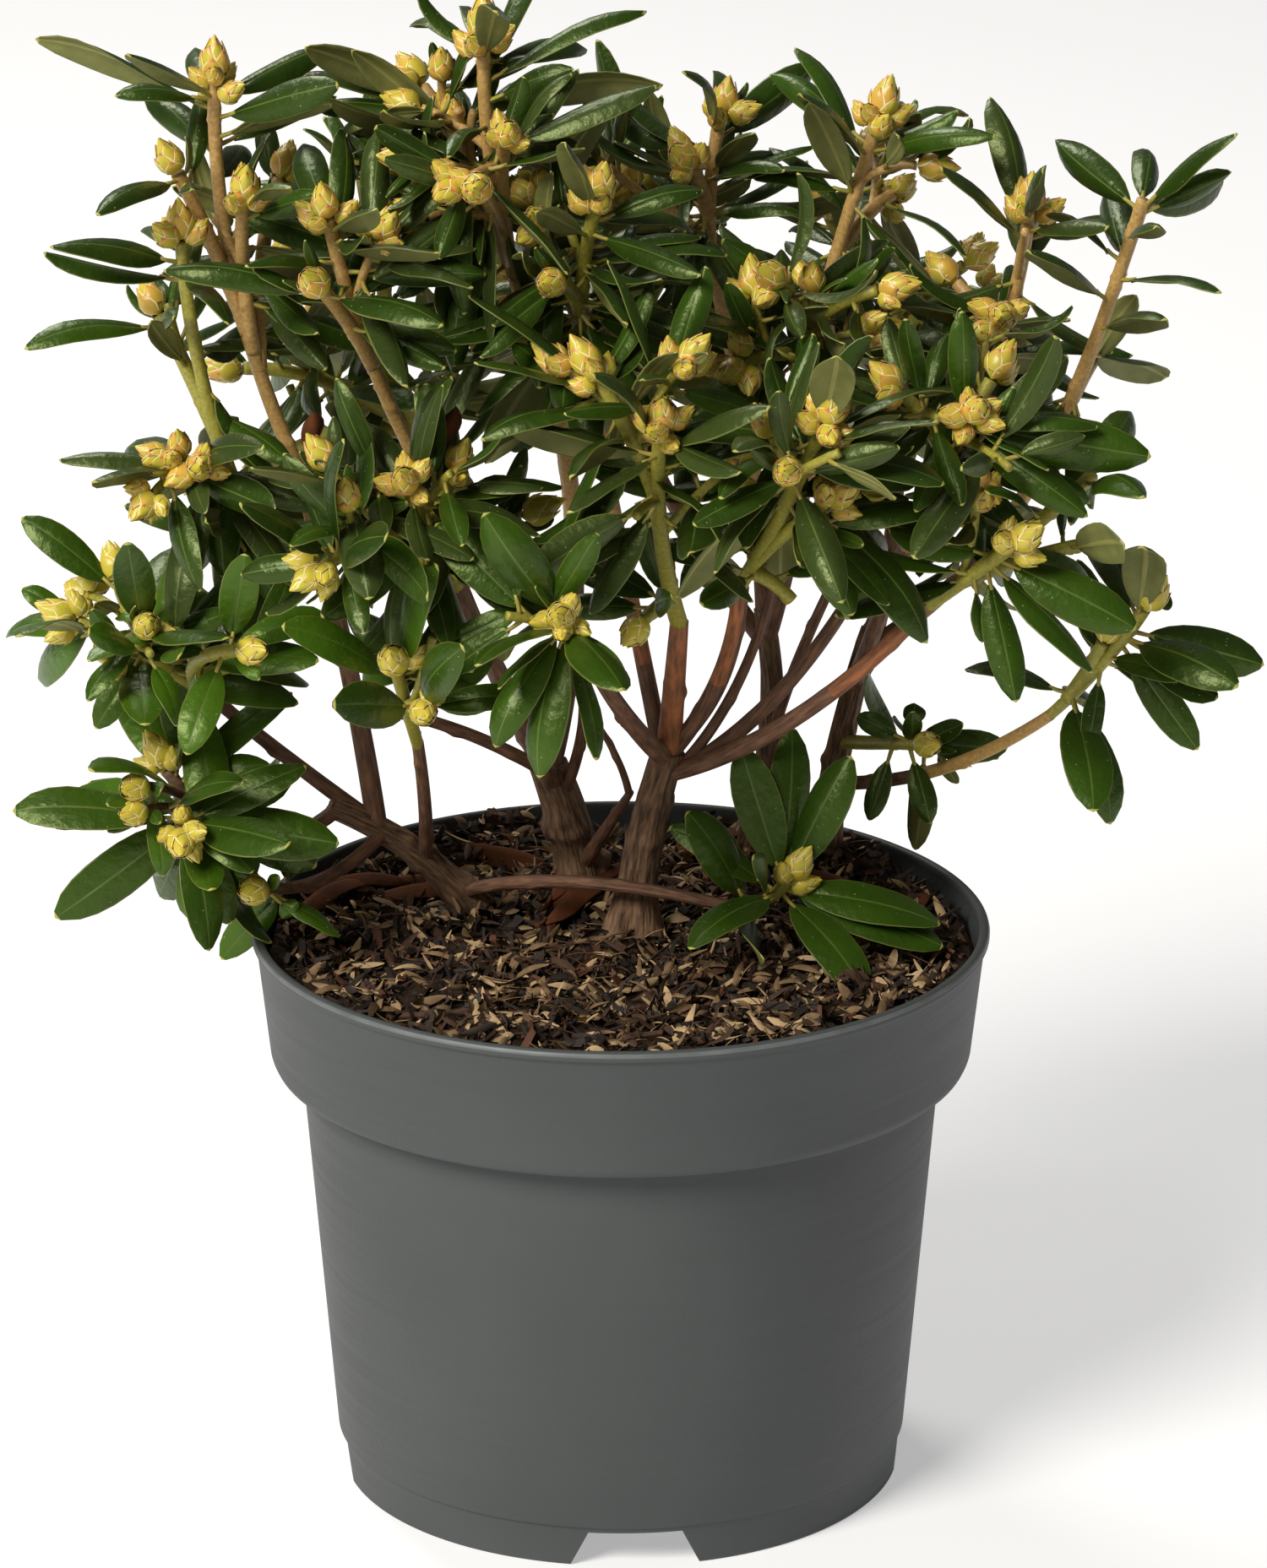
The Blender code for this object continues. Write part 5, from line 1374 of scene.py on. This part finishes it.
def rounded(outline, sharp):
    """Cut each corner of an outline in two, a short way off, so that it rounds over."""
    points = [outline[0]]
    for before, here, after in zip(outline, outline[1:], outline[2:]):
        for other in (before, after):
            share = min(sharp / math.dist(here, other), 0.3)
            points.append((here[0] + (other[0] - here[0]) * share,
                           here[1] + (other[1] - here[1]) * share))
    return points + [outline[-1]]


def pot_outline():
    """From the middle of the inside up over the rim, and down outside to the middle below."""
    step = POT_HEIGHT - BAND_HEIGHT
    floor = CHANNEL_HEIGHT + WALL
    foot = FOOT_RADIUS - FOOT_TAPER
    share = (floor - FOOT_HEIGHT) / (step - FOOT_HEIGHT)
    floor_radius = BODY_FOOT_RADIUS + (BODY_TOP_RADIUS - BODY_FOOT_RADIUS) * share - WALL
    inside = [
        (0, WALL),
        (DISC_RADIUS - WALL, WALL),
        (DISC_RADIUS + CHANNEL_SLOPE, floor),
        (floor_radius, floor),
        (BODY_TOP_RADIUS - WALL, step),
        (BAND_FOOT_RADIUS - WALL, step + 0.002),
        (RIM_RADIUS - 0.0015 - WALL, POT_HEIGHT - LIP),
    ]
    rim = [
        (RIM_RADIUS - 0.0034, POT_HEIGHT - 0.0005),
        (RIM_RADIUS - 0.0022, POT_HEIGHT),
        (RIM_RADIUS - 0.0009, POT_HEIGHT - 0.0002),
        (RIM_RADIUS, POT_HEIGHT - 0.0012),
        (RIM_RADIUS - 0.0001, POT_HEIGHT - LIP),
        (RIM_RADIUS - 0.0014, POT_HEIGHT - LIP - 0.0006),
    ]
    band_and_body = [
        (BAND_FOOT_RADIUS, step + 0.0034),
        (BAND_FOOT_RADIUS - 0.0012, step + 0.0008),
        (BAND_FOOT_RADIUS - 0.0042, step),
        (BODY_TOP_RADIUS, step - 0.0002),
        (BODY_FOOT_RADIUS, FOOT_HEIGHT),
        (FOOT_RADIUS, FOOT_HEIGHT - 0.0004),
    ]
    underside = [
        (foot, 0),
        (foot - WALL, 0),
        (foot - WALL, CHANNEL_HEIGHT),
        (DISC_RADIUS + CHANNEL_SLOPE, CHANNEL_HEIGHT),
        (DISC_RADIUS, 0),
        (0, 0),
    ]
    return inside + rim + band_and_body + underside


def pot_plastic():
    """Recycled grey plastic: faint clouds and rub marks, with fine scratches round it."""
    material = spotted("pot_plastic", (0.055, 0.060, 0.060), (0.067, 0.073, 0.073), 14, 0.5,
                       contrast=0.6, bump=0.00012, bump_scale=500, specular=0.3)
    tree = material.node_tree
    rough = add_node(tree, "MapRange", {"From Min": 0.3, "From Max": 0.7, "To Min": 0.55,
                                        "To Max": 0.63})
    wire(tree, add_noise(tree, "Object", (14, 14, 420), 3), "Fac", rough, "Value")
    wire(tree, rough, "Result", tree.nodes["Principled BSDF"], "Roughness")
    return material


def notch_cutter(turn):
    """A block, wider at its foot, that cuts one notch in the foot ring."""
    corners = []
    for x, y, z in BOX_CORNERS:
        half = (NOTCH_TOP_WIDTH if z > 0 else NOTCH_FOOT_WIDTH) / 2
        level = NOTCH_HEIGHT if z > 0 else -0.002
        corners.append((x * half, -FOOT_RADIUS + y * NOTCH_DEPTH, level))
    block = bpy.data.meshes.new("notch_cutter")
    block.from_pydata(corners, [], BOX_FACES)
    block.transform(Matrix.Rotation(turn, 4, "Z"))
    return show("notch_cutter", block)


def build_pot():
    # The rim's outer edge gets a paler material: a painted highlight where the light catches the lip
    painted_highlight = spotted("pot_painted_highlight", (0.150, 0.160, 0.160), (0.090, 0.096, 0.096), 90, 0.45,
                   specular=0.4)
    mesh = lathe("pot_moulded", rounded(pot_outline(), ROUNDING), POT_SIDES, [pot_plastic(), painted_highlight])
    for face in mesh.polygons:
        reach = math.hypot(face.center.x, face.center.y)
        if face.center.z > POT_HEIGHT - HIGHLIGHT_DROP and reach > RIM_RADIUS - HIGHLIGHT_WIDTH:
            face.material_index = 1
    pot = piece("pot_moulded", mesh, "pot")
    cutters = [notch_cutter(NOTCH_TURN + index * 2 * math.pi / NOTCH_COUNT)
               for index in range(NOTCH_COUNT)]
    for cutter in cutters:
        cut = pot.modifiers.new("notch", "BOOLEAN")
        cut.operation = "DIFFERENCE"
        cut.object = cutter
    bpy.context.view_layer.update()
    graph = bpy.context.evaluated_depsgraph_get()
    shaped = bpy.data.meshes.new_from_object(pot.evaluated_get(graph))
    pot.modifiers.clear()
    pot.data = shaped
    shaped.shade_smooth()
    shaped.set_sharp_from_angle(angle=math.radians(40))
    for cutter in cutters:
        bpy.data.objects.remove(cutter)


def soil_height(x, y):
    """The heaped surface of the compost, which sinks a little round the stems."""
    height = SOIL_TOP
    for rise, run_x, run_y, start in SOIL_WAVES:
        height = height + rise * np.sin(run_x * x + run_y * y + start)
    for rise, middle_x, middle_y, spread in SOIL_MOUNDS:
        height = height + rise * np.exp(-((x - middle_x) ** 2 + (y - middle_y) ** 2) / spread)
    return float(height)


def build_soil(rng):
    corners = [(0, 0, soil_height(0, 0))]
    for i in range(1, SOIL_RINGS + 1):
        for x, y, low in ring(SOIL_EDGE * (i / SOIL_RINGS) ** 0.85, SOIL_TOP - 0.004, SOIL_SIDES):
            height = soil_height(x, y) + rng.uniform(-0.0009, 0.0009)
            corners.append((x, y, low if i == SOIL_RINGS else height))
    faces = [(0, 1 + j, 1 + (j + 1) % SOIL_SIDES) for j in range(SOIL_SIDES)]
    faces += tube_faces(SOIL_RINGS, SOIL_SIDES, 1, turned=True)
    sheaf = Sheaf()
    sheaf.add(corners, faces, SOIL)
    piece("soil_surface", sheaf.mesh("soil_surface", MULCH_LOOKS), "soil")


def scattered(rng, reach):
    """A seeded place on the soil that keeps a piece of this reach inside the pot."""
    radius = (SOIL_EDGE - 0.0015 - reach * 0.45) * math.sqrt(rng.random())
    turn = rng.uniform(0, 2 * math.pi)
    return radius * math.cos(turn), radius * math.sin(turn)


def lay(corners, place, lift, rng, tilt):
    """Turn a small shape at random, tilt it a little and lay it on the soil."""
    matrix = (Matrix.Rotation(rng.uniform(0, FULL_TURN), 3, "Z")
              @ Matrix.Rotation(rng.gauss(0, tilt), 3, "X")
              @ Matrix.Rotation(rng.gauss(0, tilt * 1.3), 3, "Y")
              @ Matrix.Rotation(rng.gauss(0, 0.8), 3, "X"))
    return np.asarray(corners) @ np.array(matrix).T + (*place, soil_height(*place) + lift)


def add_husk(husks, rng):
    """A curled and cupped sliver of bark or straw."""
    length, width = rng.uniform(0.0045, 0.0135), rng.uniform(0.0013, 0.0032)
    curl, cup = rng.uniform(-0.12, 0.2), rng.uniform(0.2, 0.7)
    corners = []
    for i in range(6):
        t = i / 5
        half = width / 2 * math.sin(math.pi * min(max(t, 0.04), 0.97)) ** 0.7
        for across in (-1, 0, 1):
            corners.append(((t - 0.5) * length, across * half,
                            curl * length * 4 * t * (1 - t) - abs(across) * cup * half))
    place = scattered(rng, length)
    corners = lay(corners, place, rng.uniform(0.0002, 0.0042), rng, 0.45)
    looks = (HUSK_PALE, HUSK_PALE, HUSK_TAN, HUSK_TAN, CHIP_BROWN, CHIP_BROWN, CHIP_BLACK)
    husks.add(corners, sheet_faces(6, 3), rng.choice(looks))


def add_chip(chips, rng):
    """An uneven block of bark."""
    size = rng.choice((0.6, 0.8, 1, 1, 1.4))
    length, width = rng.uniform(0.0012, 0.0044) * size, rng.uniform(0.0005, 0.0014) * size
    thick = rng.uniform(0.0003, 0.0008) * size
    corners = [(x * length * rng.uniform(0.5, 1), y * width * rng.uniform(0.4, 1),
                z * thick * rng.uniform(0.6, 1.2)) for x, y, z in BOX_CORNERS]
    place = scattered(rng, length * 2)
    corners = lay(corners, place, rng.uniform(-0.0004, 0.0036), rng, 0.5)
    looks = (CHIP_BROWN, CHIP_BLACK, CHIP_BLACK, CHIP_BLACK, CHIP_RED, SOIL)
    chips.add(corners, BOX_FACES, rng.choice(looks))


def add_fibre(fibres, rng):
    """A thin bent root or thread."""
    length = rng.uniform(0.008, 0.024)
    bend = rng.uniform(-0.004, 0.004)
    points = arc(Vector((-length / 2, 0, 0)), Vector((length / 2, 0, 0)),
                 Vector((0, bend, rng.uniform(0, 0.0012))), 7)
    thread = Sheaf()
    sweep(thread, points, [rng.uniform(0.00012, 0.00032)] * 7, 3, 0)
    place = scattered(rng, length)
    corners = lay(np.concatenate(thread.corners), place, rng.uniform(0.0005, 0.0035), rng, 0.2)
    fibres.add(corners, thread.faces, rng.choice((HUSK_TAN, CHIP_BROWN, CHIP_BROWN, CHIP_RED)))


def build_mulch(rng):
    for name, add, count in (("mulch_husks", add_husk, HUSKS), ("mulch_chips", add_chip, CHIPS),
                             ("mulch_fibres", add_fibre, FIBRES)):
        sheaf = Sheaf()
        for _ in range(count):
            add(sheaf, rng)
        mesh = sheaf.mesh(name, MULCH_LOOKS)
        if name == "mulch_chips":
            mesh.set_sharp_from_angle(angle=math.radians(35))
        piece(name, mesh, "soil")


def build_litter(rng):
    """Long curled dead leaves on the soil, each by its place in millimetres and its turn."""
    sheaf = Sheaf()
    for x, y, turn in DRY_LEAVES:
        heading = Vector((math.cos(turn), math.sin(turn), 0))
        span = rng.uniform(0.030, 0.040)
        height = soil_height(x * MM, y * MM) + 0.003
        base = mm((x, y, 0)) - heading * span / 2 + Vector((0, 0, height))
        tip = base + heading * span + Vector((0, 0, rng.uniform(0.001, 0.006)))
        normal = Vector((-heading.y * 0.6, heading.x * 0.6, 1)).normalized()
        blade = Blade(base - heading * 0.004, base, tip, normal, 0.0085, rng.uniform(0.05, 0.12),
                      1.3, rng.gauss(0, 0.8), 1)
        add_leaf(sheaf, blade, 0)
    piece("litter", sheaf.mesh("litter", [DRY_LEAF] * len(LEAF_LOOKS)), "soil")


# Stage

def area_light(name, place, aim, size, power, colour):
    data = bpy.data.lights.new(name, "AREA")
    data.shape = "DISK"
    data.size = size
    data.energy = power
    data.color = colour
    lamp = show(name, data)
    lamp.location = place
    lamp.rotation_mode = "QUATERNION"
    lamp.rotation_quaternion = (Vector(aim) - Vector(place)).to_track_quat("-Z", "Y")


def build_stage():
    """A pale floor, an even sky, and two soft lights: from the upper left and from behind."""
    reach = 30
    mesh = bpy.data.meshes.new("floor")
    mesh.from_pydata([(x * reach, y * reach, 0) for x, y, _ in BOX_CORNERS[:4]], [], [(0, 1, 2, 3)])
    floor = show("floor", mesh)
    material = bpy.data.materials.new("floor")
    material.use_nodes = True
    set_inputs(material.node_tree.nodes["Principled BSDF"],
               {"Base Color": (0.62, 0.62, 0.62, 1), "Roughness": 0.9,
                "Emission Color": (1, 1, 1, 1), "Emission Strength": 0.40})
    mesh.materials.append(material)
    world = bpy.data.worlds.new("studio")
    bpy.context.scene.world = world
    world.use_nodes = True
    set_inputs(world.node_tree.nodes["Background"], {"Color": (1, 1, 1, 1), "Strength": 0.12})
    area_light("key", (-3.0, -3.6, 4.1), (0, 0, 0.3), 2.7, 465, (1, 0.97, 0.92))
    area_light("back", (-0.8, 1.5, 2.0), (0, 0, 0.3), 0.9, 26, (1, 0.98, 0.95))


def build_camera():
    data = bpy.data.cameras.new("camera")
    data.sensor_width = SENSOR
    data.lens = LENS
    data.clip_end = 100
    camera = show("camera", data)
    back = Vector((0, -math.cos(VIEW_ANGLE), math.sin(VIEW_ANGLE)))
    camera.location = mm(VIEW_MIDDLE) + Vector((0, 0, 0.0002)) + back * VIEW_DISTANCE
    camera.rotation_euler = (math.radians(90) - VIEW_ANGLE, 0, 0)
    bpy.context.scene.camera = camera


def main():
    rng = random.Random(SEED)
    bpy.context.scene.view_settings.view_transform = "Standard"
    build_camera()
    build_stage()
    build_pot()
    build_soil(rng)
    build_mulch(rng)
    build_litter(rng)
    routes = route_limbs()
    build_limbs(routes, rng)
    plans = plan_twigs(routes)
    wood = bare_wood(routes, plans)
    add_side_shoots(plans, wood, rng)
    buds = {name: plan_buds(twigs, rng) for name, twigs in plans.items()}
    shown = np.concatenate([wood, shown_buds(buds)])
    crown = Crown(limb_proxies(routes, plans), bud_proxies(buds), shown)
    hang_withered(crown)
    grow_crown(plans, crown, rng)
    for name, twigs in plans.items():
        build_twigs(name, twigs, rng)
        build_leaves(name, crown.blades[name])
        build_buds(name, buds[name], rng)


main()
